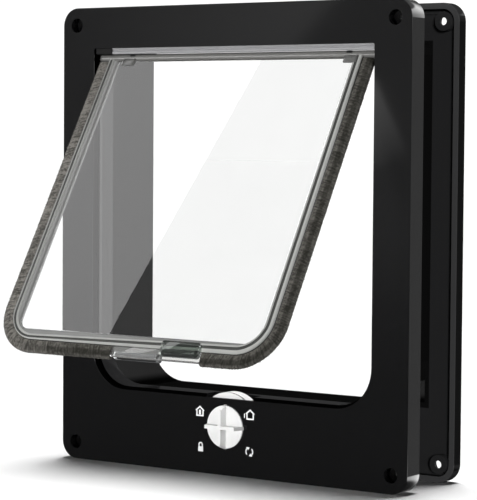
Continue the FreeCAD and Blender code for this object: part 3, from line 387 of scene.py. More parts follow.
def rear_black():
    """The garden-side frame: satin shell, painted shade on its outside and bosses, and a matte lining."""
    finish = Finish("rear_black", specular_ior_level=0.0, coat_ior=1.9, coat_roughness=0.07)
    across, depth, up = finish.spot()
    sill = OPENING_SILL - FLOOR_WALL
    lining = passage_mask(across, up, SLEEVE_HALF + SLEEVE_WALL, sill, OPENING_TOP + FLOOR_WALL)
    lining = lining * depth.under(GARDEN_PLACE)
    inner = passage_mask(across, up, SLEEVE_HALF + EDGE_ROOM, OPENING_SILL - EDGE_ROOM, OPENING_TOP)
    # Painted light: the rim is painted lighter than the shell, but not on the bosses, which keep the shell's
    # tone.
    rim = depth.under(RIM_PLACE + FACE_ROOM) * (1.0 - lining) * (1.0 - screw_mask(across, up, BOSS_RADIUS))
    garden = depth.above(GARDEN_PLACE)
    within = across.under(OUTER_SIDE) * up.math("ABSOLUTE", up).under(OUTER_UP)
    # Painted shade: the outer side is painted darker than the shell.
    outer = depth.above(RIM_PLACE + FACE_ROOM) * (1.0 - garden) * (1.0 - within)
    # Painted light: the lining's side walls, down into the corners by its floor, are painted lighter than
    # its floor.
    lit = across.between(0.06, 0.09) * up.between(-0.093, -0.0885)
    shade = finish.mix(rim, grey(0.0062, 0.0002), grey(0.0145, 0.0003))
    shade = finish.mix(outer, shade, grey(0.0022))
    shade = finish.mix(lining, shade, grey(0.0016))
    shade = finish.mix(inner * lining, shade, finish.mix(lit, grey(0.0004), grey(0.0085)))
    gloss = (1.0 - garden) * (1.0 - lining) * (1.0 - outer * 0.8) * 0.12
    return black_coat(finish, shade, garden * 0.2 + gloss)


REAR_BLACK = rear_black()
print("finish:", REAR_BLACK.name)

# %% Matte black
def black_matte():
    """Fine grained black plastic of the small hidden pieces."""
    finish = Finish("black_matte")
    grain = finish.cloud(3500.0, 1.0)
    finish.set(base_color=finish.mix(grain, grey(0.006), grey(0.014)), roughness=0.45 + grain * 0.2,
               normal=finish.bump(grain, 0.00005, 0.5))
    return finish.material


BLACK_MATTE = black_matte()
print("finish:", BLACK_MATTE.name)

# %% [markdown]
# ## White plastic, satin bar and steel
# The knob and its drum are smooth white plastic, a little warm, and a dark parting line runs round the
# drum. The lintel bar is drawn aluminium, so its fine lines run lengthways, along X. The screws, pins,
# spring and magnets share a plain bright steel. One formula makes both metals, because only the colour and
# the direction of the lines differ.

# %% Light finishes
DRUM_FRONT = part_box("lock_cam")[0].y
LINE_FROM = 0.0001
LINE_TO = 0.0013


def white_gloss(name, parting=False):
    """Smooth white moulding, if wanted with the drum's dark parting line."""
    finish = Finish(name, ior=1.46)
    cloudiness = finish.cloud(120.0, 3.0)
    shade = finish.mix(cloudiness, grey(0.71, -0.005), grey(0.76, -0.005))
    if parting:
        depth = finish.spot()[1]
        line = depth.above(DRUM_FRONT + LINE_FROM) * depth.under(DRUM_FRONT + LINE_TO)
        shade = finish.mix(line, shade, grey(0.01))
    finish.set(base_color=shade, roughness=0.28 + cloudiness * 0.12,
               normal=finish.bump(finish.cloud(900.0), 0.00003, 0.3))
    return finish.material


def satin_metal(name, dark, light, stretch, metallic=1.0):
    """Metal with fine lines along one direction."""
    finish = Finish(name, metallic=metallic)
    lines = finish.cloud(2200.0, 3.0, stretch, 0.7)
    finish.set(base_color=finish.mix(lines, dark, light), roughness=0.28 + lines * 0.2,
               normal=finish.bump(lines, 0.00003, 0.4))
    return finish.material


WHITE_GLOSS = white_gloss("white_gloss")
DRUM_WHITE = white_gloss("drum_white", True)
SATIN_BAR = satin_metal("satin_bar", grey(0.36, 0.01), grey(0.46, 0.01), (0.01, 1.0, 1.0), 0.45)
STEEL = satin_metal("steel", grey(0.5, 0.01), grey(0.62, 0.01), (0.2, 1.0, 1.0))
print("finishes:", WHITE_GLOSS.name, DRUM_WHITE.name, SATIN_BAR.name, STEEL.name)

# %% [markdown]
# ## Clear plastic
# The flap is one clear moulding, slightly smoky. Its flat window is polished and lets all light through,
# while the rim, its beads and the rail are thicker, scatter the light inside and read as grey. All of them
# share one formula. What differs is the tint, the haze, and how much of the light goes through rather than
# back: a low transmission stands for the many small reflections inside a thick edge.

# %% Clear finishes
def clear_plastic(name, tint, haze, transmission=1.0):
    """Clear moulded plastic with a tint and a haze."""
    finish = Finish(name, ior=1.45, transmission_weight=transmission)
    smear = finish.cloud(60.0, 3.0)
    darker = tuple(channel * 0.96 for channel in tint[:3]) + (1,)
    finish.set(base_color=finish.mix(smear, darker, tint), roughness=haze + smear * haze * 0.5)
    return finish.material


WINDOW_CLEAR = clear_plastic("clear_window", (0.9, 0.905, 0.9, 1), 0.004)
RIM_CLEAR = clear_plastic("clear_rim", (0.17, 0.172, 0.168, 1), 0.16, 0.2)
BEAD_CLEAR = clear_plastic("clear_bead", (0.36, 0.365, 0.35, 1), 0.08, 0.15)
# Painted shade: the grooves between the beads and by the pile are a near-black clear plastic.
SHADED_GROOVE = clear_plastic("clear_groove", (0.04, 0.041, 0.038, 1), 0.2, 0.1)
RAIL_CLEAR = clear_plastic("clear_rail", (0.16, 0.158, 0.152, 1), 0.14, 0.25)
LUG_CLEAR = clear_plastic("clear_lug", (0.14, 0.14, 0.136, 1), 0.1, 0.45)
BAR_CLEAR = clear_plastic("clear_bar", (0.66, 0.66, 0.645, 1), 0.02, 0.96)
COVER_CLEAR = clear_plastic("clear_cover", (0.80, 0.83, 0.84, 1), 0.02)
GRIP_CLEAR = clear_plastic("clear_grip", (0.28, 0.32, 0.29, 1), 0.03)
print("finishes:", WINDOW_CLEAR.name, RIM_CLEAR.name, BEAD_CLEAR.name, SHADED_GROOVE.name)

# %% [markdown]
# ## Pile
# The draught strip is a woven tape with a dense brushed pile, grey brown with darker streaks where the
# bundles part. The streaks run across the strip, whichever way it turns, so the finish reads a coordinate
# that each strip stores on its points: how far along the strip, how far across, and a number of its own
# for each fibre. Shade is painted into the colour: down the right strip, over the outer part of its pile
# and along the foot, the pile is painted darker and browner.

# %% Pile finish
INSET_SCALE = 0.12
FOOT_HEIGHT = -0.048
SHADE_BROWN = (0.013, 0.013, 0.01, 1)


def pile_finish(name, dark, light):
    """Brushed synthetic pile, with painted shade down the right side and along the bottom."""
    finish = Finish(name, roughness=0.9, specular_ior_level=0.1)
    strip = finish.node("ShaderNodeAttribute", {"attribute_name": "strip"}, {}, "Vector")
    values = {"Vector": strip, "Scale": 1.0, "Detail": 3.0, "Roughness": 0.6}
    streaks = finish.node("ShaderNodeTexNoise", {}, values, "Fac")
    blend = streaks * 0.5 + finish.cloud(700.0) * 0.32 + finish.cloud(110.0) * 0.18
    inset = finish.axis(strip, "Y") / INSET_SCALE
    # Painted shade: darker and browner down the right strip, over the outer part of its pile and along the
    # foot.
    shaded = finish.axis(finish.place(), "X").between(-0.097, -0.03)
    outer_band_shade = inset.band(0.6, 1.6, 3.6, 5.0) * shaded
    foot = finish.spot()[2].under(FOOT_HEIGHT)
    painted_shade = 1.0 - (1.0 - shaded * 0.5) * (1.0 - foot * 0.12) * (1.0 - outer_band_shade * 0.6)
    plain = finish.mix(blend.between(0.4, 0.6), dark, light)
    finish.set(base_color=finish.mix(painted_shade, plain, SHADE_BROWN), normal=finish.bump(streaks, 0.0004, 0.8))
    return finish.material


PILE = pile_finish("pile", (0.05, 0.048, 0.043, 1), (0.2, 0.19, 0.174, 1))
FIBRE = pile_finish("fibre", (0.07, 0.067, 0.061, 1), (0.24, 0.229, 0.211, 1))
print("finishes:", PILE.name, FIBRE.name)

# %% [markdown]
# ## Dressing the solid pieces
# The construction's pieces keep their shape. A moulded or cut edge is never knife sharp, so each gets a
# small bevel: first the doubled points along its edges are welded, then only edges that turn sharply are
# rounded.

# %% Dress the nodes
def dress(node, finish, edge_mm=0.0):
    """Give a node its finish and soft edges."""
    piece = nodes[node]
    for slot in piece.material_slots:
        slot.material = finish
    if edge_mm:
        weld = piece.modifiers.new("weld", "WELD")
        weld.merge_threshold = 0.00001
        bevel = piece.modifiers.new("soft_edges", "BEVEL")
        bevel.width = edge_mm * MM
        bevel.segments = 2
        bevel.limit_method = "ANGLE"
        bevel.angle_limit = math.radians(40.0)
        bevel.harden_normals = False
        bevel.use_clamp_overlap = True


DRESSING = {
    "front_frame": (FRONT_BLACK, 0.15), "rear_frame": (REAR_BLACK, 0.2), "bar_clip": (BLACK_MATTE, 0.1),
    "magnet_holder": (BLACK_MATTE, 0.1), "lintel_bar": (SATIN_BAR, 0.08), "lock_cam": (DRUM_WHITE, 0.2),
    "lock_knob": (WHITE_GLOSS, 0.18), "lock_screw": (STEEL, 0.08), "holder_screw": (STEEL, 0.08),
    "detent_spring": (STEEL, 0.0), "frame_magnet": (STEEL, 0.15),
    "hinge_pin_left": (STEEL, 0.1), "hinge_pin_right": (STEEL, 0.1),
}
for node, (finish, edge) in DRESSING.items():
    dress(node, finish, edge)
print(len(DRESSING), "nodes dressed")

# %% [markdown]
# ## The flap's outline
# Window, rim and pile share one family of curves: down the left side, round the corner, along the bottom
# and up again, each set in by so much from the pile's outer edge. Writing the curve once keeps them
# concentric.

# %% Flap outline
FLAP_HALF = 98.8
FLAP_BOTTOM = 200.5
FLAP_TOP = 1.2
CORNER_STEPS = 14


def outline(inset, corner):
    """Points (across, drop) from the top left down the side and round to the bottom."""
    half = FLAP_HALF - inset
    centre = Vector((-half + corner, FLAP_BOTTOM - inset - corner))
    points = [(-half, FLAP_TOP)]
    for step in range(CORNER_STEPS + 1):
        angle = math.pi / 2 * step / CORNER_STEPS
        points.append((centre.x - corner * math.cos(angle), centre.y + corner * math.sin(angle)))
    return points


def whole_outline(left_inset, right_inset, corner):
    """The full U, from the top left to the top right."""
    left_part = outline(left_inset, corner)
    right_part = [(-across, drop) for across, drop in reversed(outline(right_inset, corner))]
    return left_part + right_part


print("outline runs to", FLAP_BOTTOM, "mm below the hinge line")

# %% Meshes
FLAT_FACES = 2
SHARP_ANGLE = math.radians(35.0)


def make_piece(name, points, faces, finishes, body, face_finish=None, hollow_from=None):
    """A mesh piece that rides on a body.

    Its first two faces are its flat ends or windows. Faces from hollow_from on line a hollow.
    """
    mesh = bpy.data.meshes.new(name)
    mesh.from_pydata([tuple(point) for point in points], [], faces)
    for finish in finishes:
        mesh.materials.append(finish)
    if face_finish:
        for polygon, index in zip(mesh.polygons, face_finish):
            polygon.material_index = index
    skin = bmesh.new()
    skin.from_mesh(mesh)
    bmesh.ops.recalc_face_normals(skin, faces=skin.faces)
    if hollow_from is not None:
        skin.faces.ensure_lookup_table()
        bmesh.ops.reverse_faces(skin, faces=skin.faces[hollow_from:])
    skin.to_mesh(mesh)
    skin.free()
    mesh.shade_smooth()
    mesh.set_sharp_from_angle(angle=SHARP_ANGLE)
    for polygon in mesh.polygons[:FLAT_FACES]:
        polygon.use_smooth = False
    piece = bpy.data.objects.new(name, mesh)
    bpy.context.scene.collection.objects.link(piece)
    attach(piece, body)
    return piece


def tube_faces(count, rings):
    """Faces that join rings of points into a closed tube with flat ends."""
    faces = [list(range(count))[::-1], list(range((rings - 1) * count, rings * count))]
    for low in range(0, (rings - 1) * count, count):
        for index in range(count):
            following = (index + 1) % count
            faces.append([low + index, low + following, low + count + following, low + count + index])
    return faces


print("a tube of two squares has", len(tube_faces(4, 2)), "faces")

# %% Round-edged block
LAST_TURN = math.radians(80.0)


def soft_block(low, high, radius, steps=4):
    """Points and faces of a block with round edges, in the flap's millimetres, as rings along it."""
    centre = (low + high) / 2
    half = (high - low) / 2
    turns = [LAST_TURN * step / steps for step in range(steps, -1, -1)]
    stations = [(-1.0, turn) for turn in turns] + [(1.0, turn) for turn in reversed(turns)]
    ring_points = 4 * (steps + 1)
    points = []
    for side, turn in stations:
        across = side * (half.x - radius + radius * math.sin(turn) / math.sin(LAST_TURN))
        corner = radius * math.cos(turn)
        for index in range(ring_points):
            quarter, step = divmod(index, steps + 1)
            angle = math.pi / 2 * (quarter + step / steps)
            drop_side = 1.0 if quarter in (0, 3) else -1.0
            depth_side = 1.0 if quarter in (0, 1) else -1.0
            drop = drop_side * (half.y - radius) + corner * math.cos(angle)
            depth = depth_side * (half.z - radius) + corner * math.sin(angle)
            points.append(on_flap(centre.x + across, centre.y + drop, centre.z + depth))
    return points, tube_faces(ring_points, len(stations))


print("block helper ready, with ends that turn", round(math.degrees(LAST_TURN)), "degrees")

# %% [markdown]
# ## The clear flap
# One closed skin: rings of points are laid from the window's edge out over the band and the two small
# beads of the ridge to the tongue inside the pile, once on the front and once on the back, and quads join
# each ring to the next. The window itself is a single flat face on each side. A bevelled slab would be
# quicker, but it would have neither the step nor the beads that catch the light.

# %% Clear flap's rings
# Inset down the left and down the right, corner radius and depth of each ring, from the window outwards
FRONT_RINGS = [
    (15.0, 15.0, 6.0, -1.0), (14.4, 14.7, 6.5, -1.2), (14.0, 14.5, 7.0, -1.55), (13.7, 14.3, 7.6, -1.6),
    (11.5, 13.5, 15.0, -1.6), (11.2, 13.2, 15.4, -1.9), (10.6, 12.7, 16.0, -2.2), (10.1, 12.2, 16.4, -1.95),
    (9.8, 11.9, 16.8, -1.6), (9.0, 10.6, 17.6, -1.6), (8.8, 10.3, 17.9, -2.1), (8.6, 9.9, 18.3, -2.45),
    (8.3, 9.0, 18.9, -2.6), (8.0, 8.1, 19.5, -2.45), (7.75, 7.75, 19.9, -2.0), (7.6, 7.6, 20.0, -0.5),
    (5.0, 5.0, 23.0, -0.5),
]
FLAP_FINISHES = [WINDOW_CLEAR, RIM_CLEAR, BEAD_CLEAR, SHADED_GROOVE]
WINDOW, RIM, BEAD, GROOVE = range(len(FLAP_FINISHES))
# The finish of each strip between two rings; the groove strips carry the near-black painted shade
STRIP_FINISHES = [WINDOW] + [RIM] * 3 + [BEAD] * 3 + [GROOVE] * 3 + [BEAD] * 4 + [GROOVE, RIM]
# The strips of the flat band, which is clear down the right side
BAND_STRIPS = 4
print(len(FRONT_RINGS), "rings,", len(STRIP_FINISHES), "strips")


# %% Clear flap
def clear_flap():
    """The window, the stepped band and the beaded ridge in one skin."""
    rings = [whole_outline(left, right, corner) for left, right, corner, depth in FRONT_RINGS]
    count = len(rings[0])
    last = len(FRONT_RINGS)
    behind = last * count
    points = []
    for side in (1.0, -1.0):
        for ring, values in zip(rings, FRONT_RINGS):
            points += [on_flap(across, drop, values[-1] * side) for across, drop in ring]
    faces = [list(range(count)), list(range(behind, behind + count))[::-1]]
    finish = [WINDOW, WINDOW]
    for side in range(2):
        for ring in range(last - 1):
            start = side * behind + ring * count
            for index in range(start, start + count - 1):
                faces.append([index, index + count, index + count + 1, index + 1])
                clear_side = ring < BAND_STRIPS and index - start > CORNER_STEPS + 1
                finish.append(WINDOW if clear_side else STRIP_FINISHES[ring])
    for index in range(behind - count, behind - 1):
        faces.append([index, index + behind, index + behind + 1, index + 1])
        finish.append(BEAD)
    for end in (0, count - 1):
        for index in range(end, end + behind - count, count):
            faces.append([index, index + count, index + count + behind, index + behind])
            finish.append(RIM)
    faces.append([0, count - 1, behind + count - 1, behind])
    finish.append(WINDOW)
    piece = make_piece("clear_flap", points, faces, FLAP_FINISHES, "flap", finish)
    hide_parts("flap_panel")
    return piece


flap = clear_flap()
print("clear flap:", len(flap.data.polygons), "faces")

# %% [markdown]
# ## The pile strips
# A solid core gives the strip its body and its dense colour. Its skin is pushed in and out by noise, and
# some thousands of thin spikes stand on it, so that the outline is furry from every side. The spikes lean
# across the strip, as brushed pile does. Hair particles would look as good here, but they are no mesh and
# would be lost when the part is exported.

# %% Places along a strip
PILE_CORNER = 28.0
PILE_WIDTH = 8.0
PILE_TOP = 3.4
LEFT_END = -11.5
RIGHT_END = 51.0
STATION_MM = 1.6
# Inset and depth of the strip's section, from the inner front edge round to the inner back edge
SECTION = [(7.5, -1.3), (7.0, -1.9), (5.0, -2.15), (3.0, -2.15), (1.2, -1.8), (0.3, -1.1), (0.1, 0.0),
           (0.3, 1.1), (1.2, 1.8), (3.0, 2.15), (5.0, 2.15), (7.0, 1.9), (7.5, 1.3), (7.5, 0.0)]


def strip_stations(foot):
    """Places along one strip: the centre that it turns about and the outward direction there."""
    turn_across = FLAP_HALF - PILE_CORNER
    turn_drop = FLAP_BOTTOM - PILE_CORNER
    straight = turn_drop - PILE_TOP
    arc_length = PILE_CORNER * math.pi / 2
    total = straight + arc_length + turn_across - foot
    count = int(total / STATION_MM)
    stations = []
    for index in range(count + 1):
        length = total * index / count
        if length < straight:
            station = (Vector((turn_across, PILE_TOP + length)), Vector((1.0, 0.0)))
        elif length < straight + arc_length:
            angle = (length - straight) / PILE_CORNER
            station = (Vector((turn_across, turn_drop)), Vector((math.cos(angle), math.sin(angle))))
        else:
            beyond = length - straight - arc_length
            station = (Vector((turn_across - beyond, turn_drop)), Vector((0.0, 1.0)))
        stations.append(station)
    return stations


def strip_point(station, side, inset, depth):
    """A point of the strip at a station."""
    centre, outward = station
    place = centre + outward * (PILE_CORNER - inset)
    return on_flap(place.x * side, place.y, depth)


def between_stations(stations, along):
    """A place between two stations."""
    first = stations[int(along)]
    second = stations[int(along) + 1]
    share = along - int(along)
    return first[0].lerp(second[0], share), first[1].lerp(second[1], share).normalized()


print("the left strip has", len(strip_stations(-LEFT_END)), "stations")

# %% Core and spikes
SPIKES_PER_STATION = 44
TIP_INSET = 0.05
STREAK_SLANT = 0.25
DEPTH_SCALE = 0.1


def pile_core(stations, side):
    """The strip's swollen skin, and where each point lies on the strip."""
    points = []
    strip = []
    for row, station in enumerate(stations):
        for inset, depth in SECTION:
            place = strip_point(station, side, inset, depth)
            swell = noise.noise(place * 800.0) * 0.16 + noise.noise(place * 220.0) * 0.1
            lean = Vector((inset - PILE_WIDTH / 2, depth * 1.6)).normalized() * swell
            points.append(strip_point(station, side, max(0.0, inset + lean.x), depth + lean.y))
            strip.append((row * STATION_MM + inset * STREAK_SLANT, inset * INSET_SCALE, depth * DEPTH_SCALE))
    return points, tube_faces(len(SECTION), len(stations)), strip


def spike(stations, side, draw):
    """One fibre bundle: four points from its foot in the skin to its tip, and its place on the strip."""
    along = draw.random() * (len(stations) - 1.001)
    station = between_stations(stations, along)
    spot = draw.random() * (len(SECTION) - 2)
    corner = int(spot)
    part = spot - corner
    inset = SECTION[corner][0] * (1 - part) + SECTION[corner + 1][0] * part
    depth = SECTION[corner][1] * (1 - part) + SECTION[corner + 1][1] * part
    foot = strip_point(station, side, inset, depth * 0.92)
    lift = math.copysign(0.12 + 0.25 * draw.random(), depth)
    brushed = (0.5 + 1.1 * draw.random()) * (0.7 if inset > 1.0 else 0.3)
    tip = strip_point(station, side, max(TIP_INSET, inset - brushed), depth + lift)
    tip += Vector((draw.uniform(-0.2, 0.2) * MM, 0.0, 0.0)) + FLAP_DOWN * draw.uniform(-0.3, 0.3) * MM
    axis = (tip - foot).normalized()
    across = axis.orthogonal().normalized()
    other = axis.cross(across)
    width = (0.1 + 0.06 * draw.random()) * MM
    corners = []
    for turn in range(3):
        angle = 2.0 * math.pi * turn / 3.0
        corners.append(foot + (across * math.cos(angle) + other * math.sin(angle)) * width)
    place = (along * STATION_MM + draw.uniform(-0.6, 0.6), inset * INSET_SCALE, draw.random())
    return corners + [tip], place


def pile_strip(name, node, side, foot):
    """The core and the spikes of one strip."""
    stations = strip_stations(foot)
    points, faces, strip = pile_core(stations, side)
    core_faces = len(faces)
    draw = random.Random(f"{name} spikes")
    for index in range(SPIKES_PER_STATION * (len(stations) - 1)):
        corners, place = spike(stations, side, draw)
        base = len(points)
        points += corners
        strip += [place] * 4
        faces += [[base, base + 1, base + 3], [base + 1, base + 2, base + 3], [base + 2, base, base + 3],
                  [base, base + 2, base + 1]]
    finish = [0] * core_faces + [1] * (len(faces) - core_faces)
    piece = make_piece(name, points, faces, [PILE, FIBRE], "flap", finish)
    attribute = piece.data.attributes.new("strip", "FLOAT_VECTOR", "POINT")
    attribute.data.foreach_set("vector", [number for place in strip for number in place])
    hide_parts(node)
    return piece


left_pile = pile_strip("left_pile", "pile_strip_left", -1, -LEFT_END)
right_pile = pile_strip("right_pile", "pile_strip_right", 1, RIGHT_END)
print("pile:", len(left_pile.data.polygons), "and", len(right_pile.data.polygons), "faces")

# %% [markdown]
# ## The rail and its lugs
# The rail is a clear extrusion: a barrel for the hinge pins and a short leaf that holds the sheet. One
# section drawn along X is all that it needs. Two small lugs hang over the sheet, each with a dark stop in
# the rail.

# %% Rail
RAIL_RADIUS = 2.6
RAIL_LEAF_HALF = 1.3
RAIL_LEAF_DROP = 2.2
RAIL_ARC_STEPS = 18


def clear_rail():
    """The barrel with its leaf, as one section drawn along X."""
    leaf_turn = math.asin(RAIL_LEAF_HALF / RAIL_RADIUS)
    section = [(RAIL_LEAF_HALF, RAIL_LEAF_DROP)]
    for step in range(RAIL_ARC_STEPS + 1):
        angle = leaf_turn + (2 * math.pi - 2 * leaf_turn) * step / RAIL_ARC_STEPS
        section.append((RAIL_RADIUS * math.sin(angle), RAIL_RADIUS * math.cos(angle)))
    section.append((-RAIL_LEAF_HALF, RAIL_LEAF_DROP))
    points = []
    for across in (-FLAP_HALF, FLAP_HALF):
        points += [on_flap(across, drop, depth) for depth, drop in section]
    faces = tube_faces(len(section), 2)
    piece = make_piece("clear_rail", points, faces, [RAIL_CLEAR], "flap")
    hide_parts("flap_rail")
    return piece


rail = clear_rail()
print("rail:", len(rail.data.polygons), "faces")

# %% Lugs
LUG_CENTRES = (-75.7, 83.4)
LUG_HALF = 4.6
LUG_TOP = 1.2
LUG_DROP = 6.2
LUG_FRONT = -2.5
LUG_BACK = -1.0
LUG_RADIUS = 0.7
STOP_HALF = 2.0
STOP_LOW = (-1.6, -2.7)
STOP_HIGH = (0.2, -1.6)
STOP_RADIUS = 0.3
STOP_SHIFT = 0.4


def rail_lug(name, centre):
    """A small round-edged lug over the sheet's top edge, with its dark stop in the rail."""
    low = Vector((centre - LUG_HALF, LUG_TOP, LUG_FRONT))
    high = Vector((centre + LUG_HALF, LUG_DROP, LUG_BACK))
    points, faces = soft_block(low, high, LUG_RADIUS)
    lug = make_piece(name, points, faces, [LUG_CLEAR], "flap")
    middle = centre - math.copysign(LUG_HALF * STOP_SHIFT, centre)
    low = Vector((middle - STOP_HALF, *STOP_LOW))
    high = Vector((middle + STOP_HALF, *STOP_HIGH))
    points, faces = soft_block(low, high, STOP_RADIUS, 2)
    make_piece(f"{name}_stop", points, faces, [BLACK_MATTE], "flap")
    return lug


lugs = [rail_lug("lug_left", LUG_CENTRES[0]), rail_lug("lug_right", LUG_CENTRES[1])]
print(len(lugs), "lugs")

# %% [markdown]
# ## The bottom bar and the two blocks
# At the bottom, where the pile leaves a gap, a clear bar carries the magnet's cover behind it and a hollow
# finger grip before it. Blocks of clear plastic look real only when their edges are round and their walls
# have an inner skin, because both bend the light.

# %% Bottom bar and blocks
BAR_HALF = 1.25
BAR_TOP_ROOM = 1.0
BAR_RADIUS = 0.4
BLOCK_ROOM = 0.05
COVER_RADIUS = 1.1
COVER_ROOM_WALL = 0.25
MAGNET_RADIUS = 0.5
MAGNET_SHIFT = Vector((0.0, 0.0, 0.5))
GRIP_RADIUS = 1.4
GRIP_WALL = Vector((1.3, 1.3, 1.04))
ROOM_RADIUS_SHARE = 0.8


def block_piece(name, node, low, high, radius, finish, room=None):
    """A round-edged block that stands for a node, with a hollow if a room is given."""
    points, faces = soft_block(low, high, radius)
    hollow_from = None
    if room:
        hollow_from = len(faces)
        inner_points, inner_faces = soft_block(room[0], room[1], radius * ROOM_RADIUS_SHARE)
        faces += [[index + len(points) for index in face] for face in inner_faces]
        points += inner_points
    piece = make_piece(name, points, faces, [finish], "flap", hollow_from=hollow_from)
    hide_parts(node)
    return piece


cover_low, cover_high = flap_box("magnet_cover")
magnet_low, magnet_high = flap_box("flap_magnet")
grip_low, grip_high = flap_box("grip_block")
bar_low = Vector((LEFT_END, FLAP_BOTTOM - PILE_WIDTH - BAR_TOP_ROOM, -BAR_HALF))
bar_high = Vector((RIGHT_END, cover_high.y, BAR_HALF))
bar = block_piece("clear_bar", "flap_panel", bar_low, bar_high, BAR_RADIUS, BAR_CLEAR)
gap = Vector((COVER_ROOM_WALL, COVER_ROOM_WALL, 0.0))
cover_low.z = BAR_HALF + BLOCK_ROOM
cover_room = (magnet_low - gap + MAGNET_SHIFT * 0.6, magnet_high + gap + MAGNET_SHIFT * 0.5)
cover = block_piece("clear_cover", "magnet_cover", cover_low, cover_high, COVER_RADIUS, COVER_CLEAR,
                    cover_room)
magnet = block_piece("cover_magnet", "flap_magnet", magnet_low + MAGNET_SHIFT, magnet_high, MAGNET_RADIUS,
                     STEEL)
grip_high.z = -BAR_HALF - BLOCK_ROOM
grip = block_piece("clear_grip", "grip_block", grip_low, grip_high, GRIP_RADIUS, GRIP_CLEAR,
                   (grip_low + GRIP_WALL, grip_high - GRIP_WALL))
print("blocks:", [piece.name for piece in (bar, cover, magnet, grip)])

# %% [markdown]
# ## The signs round the knob
# Four small white signs are printed on the front. A print has almost no thickness, yet as real shapes it
# stays sharp at any size and would go into an exported model, so each sign is built from strokes a tenth
# of a millimetre proud of the face.

# %% Strokes
PRINT_WIDTH = 0.85
FINE_WIDTH = 0.75
MITRE_LIMIT = 0.4


def arc(centre, radius, start, end, steps=12):
    """Points on an arc, with its angles in degrees."""
    points = []
    for step in range(steps + 1):
        angle = math.radians(start + (end - start) * step / steps)
        points.append((centre[0] + radius * math.cos(angle), centre[1] + radius * math.sin(angle)))
    return points


def stroke(points, width=PRINT_WIDTH):
    """The outline of a line of one width through the points, with mitred corners."""
    line = [Vector(point) for point in points]
    left = []
    right = []
    for index, point in enumerate(line):
        before = (point - line[max(index - 1, 0)]).normalized()
        after = (line[min(index + 1, len(line) - 1)] - point).normalized()
        if index == 0:
            before = after
        if index == len(line) - 1:
            after = before
        along = (before + after).normalized()
        offset = Vector((-along.y, along.x)) * (width / 2 / max(MITRE_LIMIT, along.dot(after)))
        left.append(point + offset)
        right.append(point - offset)
    return left + right[::-1]


print("a stroke through two points has", len(stroke([(0.0, 0.0), (1.0, 0.0)])), "corners")

# %% Sign shapes
ARROW_RADIUS = 2.4
ARROW_START = 46.0
ARROW_END = -50.0
HEAD_HALF = 1.2
HEAD_LENGTH = 1.9
HEAD_INWARD = 0.6
BESIDE = Vector((0.7, 0.0))


def house():
    """A roof over two walls and a floor."""
    roof = stroke([(-3.0, 0.3), (0.0, 2.7), (3.0, 0.3)])
    walls = stroke([(-2.25, 0.5), (-2.25, -2.6), (2.25, -2.6), (2.25, 0.5)])
    return [roof, walls]


def arrow(turn):
    """A curved arrow, turned by some degrees about the sign's middle."""
    bow = stroke(arc((0.0, 0.0), ARROW_RADIUS, turn + ARROW_START, turn + ARROW_END), FINE_WIDTH)
    tip_turn = math.radians(turn + ARROW_END)
    outward = Vector((math.cos(tip_turn), math.sin(tip_turn)))
    ahead = Vector((outward.y, -outward.x))
    tip = outward * ARROW_RADIUS
    point = tip + ahead * HEAD_LENGTH - outward * HEAD_INWARD
    return [bow, [tip + outward * HEAD_HALF, point, tip - outward * HEAD_HALF]]


door = [(-0.75, -2.0), (0.75, -2.0)] + arc((0.0, 0.2), 0.75, 0.0, 180.0)
house_beside = [[Vector(spot) + BESIDE for spot in shape] for shape in house()]
step_mark = [(-3.6, -2.2), (-3.0, -2.2), (-3.0, 0.2), (-3.3, 0.7), (-3.6, 0.2)]
lock_body = [(-1.8, -2.8), (1.8, -2.8), (1.7, 0.2), (-1.7, 0.2)]
shackle = stroke([(-1.2, 0.1)] + arc((0.0, 1.3), 1.2, 180.0, 0.0) + [(1.2, 0.1)], FINE_WIDTH)
# The shapes of each sign, and its place across and above the middle of the front, in millimetres
SIGNS = {
    "sign_inside": (house() + [door], -18.75, -102.8),
    "sign_outside": (house_beside + [step_mark], 17.0, -102.2),
    "sign_locked": ([lock_body, shackle], -18.1, -124.2),
    "sign_both_ways": (arrow(0.0) + arrow(180.0), 17.3, -124.2),
}
print(len(SIGNS), "signs drawn")

# %% Print the signs
PRINT_PROUD = 0.1
PRINT_SUNK = 0.05


def print_white():
    """Matt white ink."""
    finish = Finish("print_white", roughness=0.5)
    finish.set(base_color=finish.mix(finish.cloud(900.0), grey(0.78), grey(0.88)))
    return finish.material


def sign(name, shapes, across, up):
    """A sign on the front face from closed outlines, in millimetres about its own middle."""
    points = []
    faces = []
    for shape in shapes:
        base = len(points)
        for depth in (FACE - PRINT_PROUD * MM, FACE + PRINT_SUNK * MM):
            points += [((across + spot[0]) * MM, depth, (up + spot[1]) * MM) for spot in shape]
        faces += [[base + index for index in face] for face in tube_faces(len(shape), 2)]
    return make_piece(name, points, faces, [PRINT_WHITE], "front")


PRINT_WHITE = print_white()
for name, (shapes, across, height) in SIGNS.items():
    sign(name, shapes, across, height)
print("four signs,", PRINT_PROUD, "mm proud")

# %% [markdown]
# ## The studio
# The product stands on a white floor that runs out to white. Glossy black shows only what it mirrors, so
# the surroundings that reflections see are darker than what the camera sees, with a few bright bands where
# a softbox would stand. Suns would also do for the mirrored light, but a band in the world has soft edges
# for free.

# %% Floor
FLOOR_HALF = 12.0


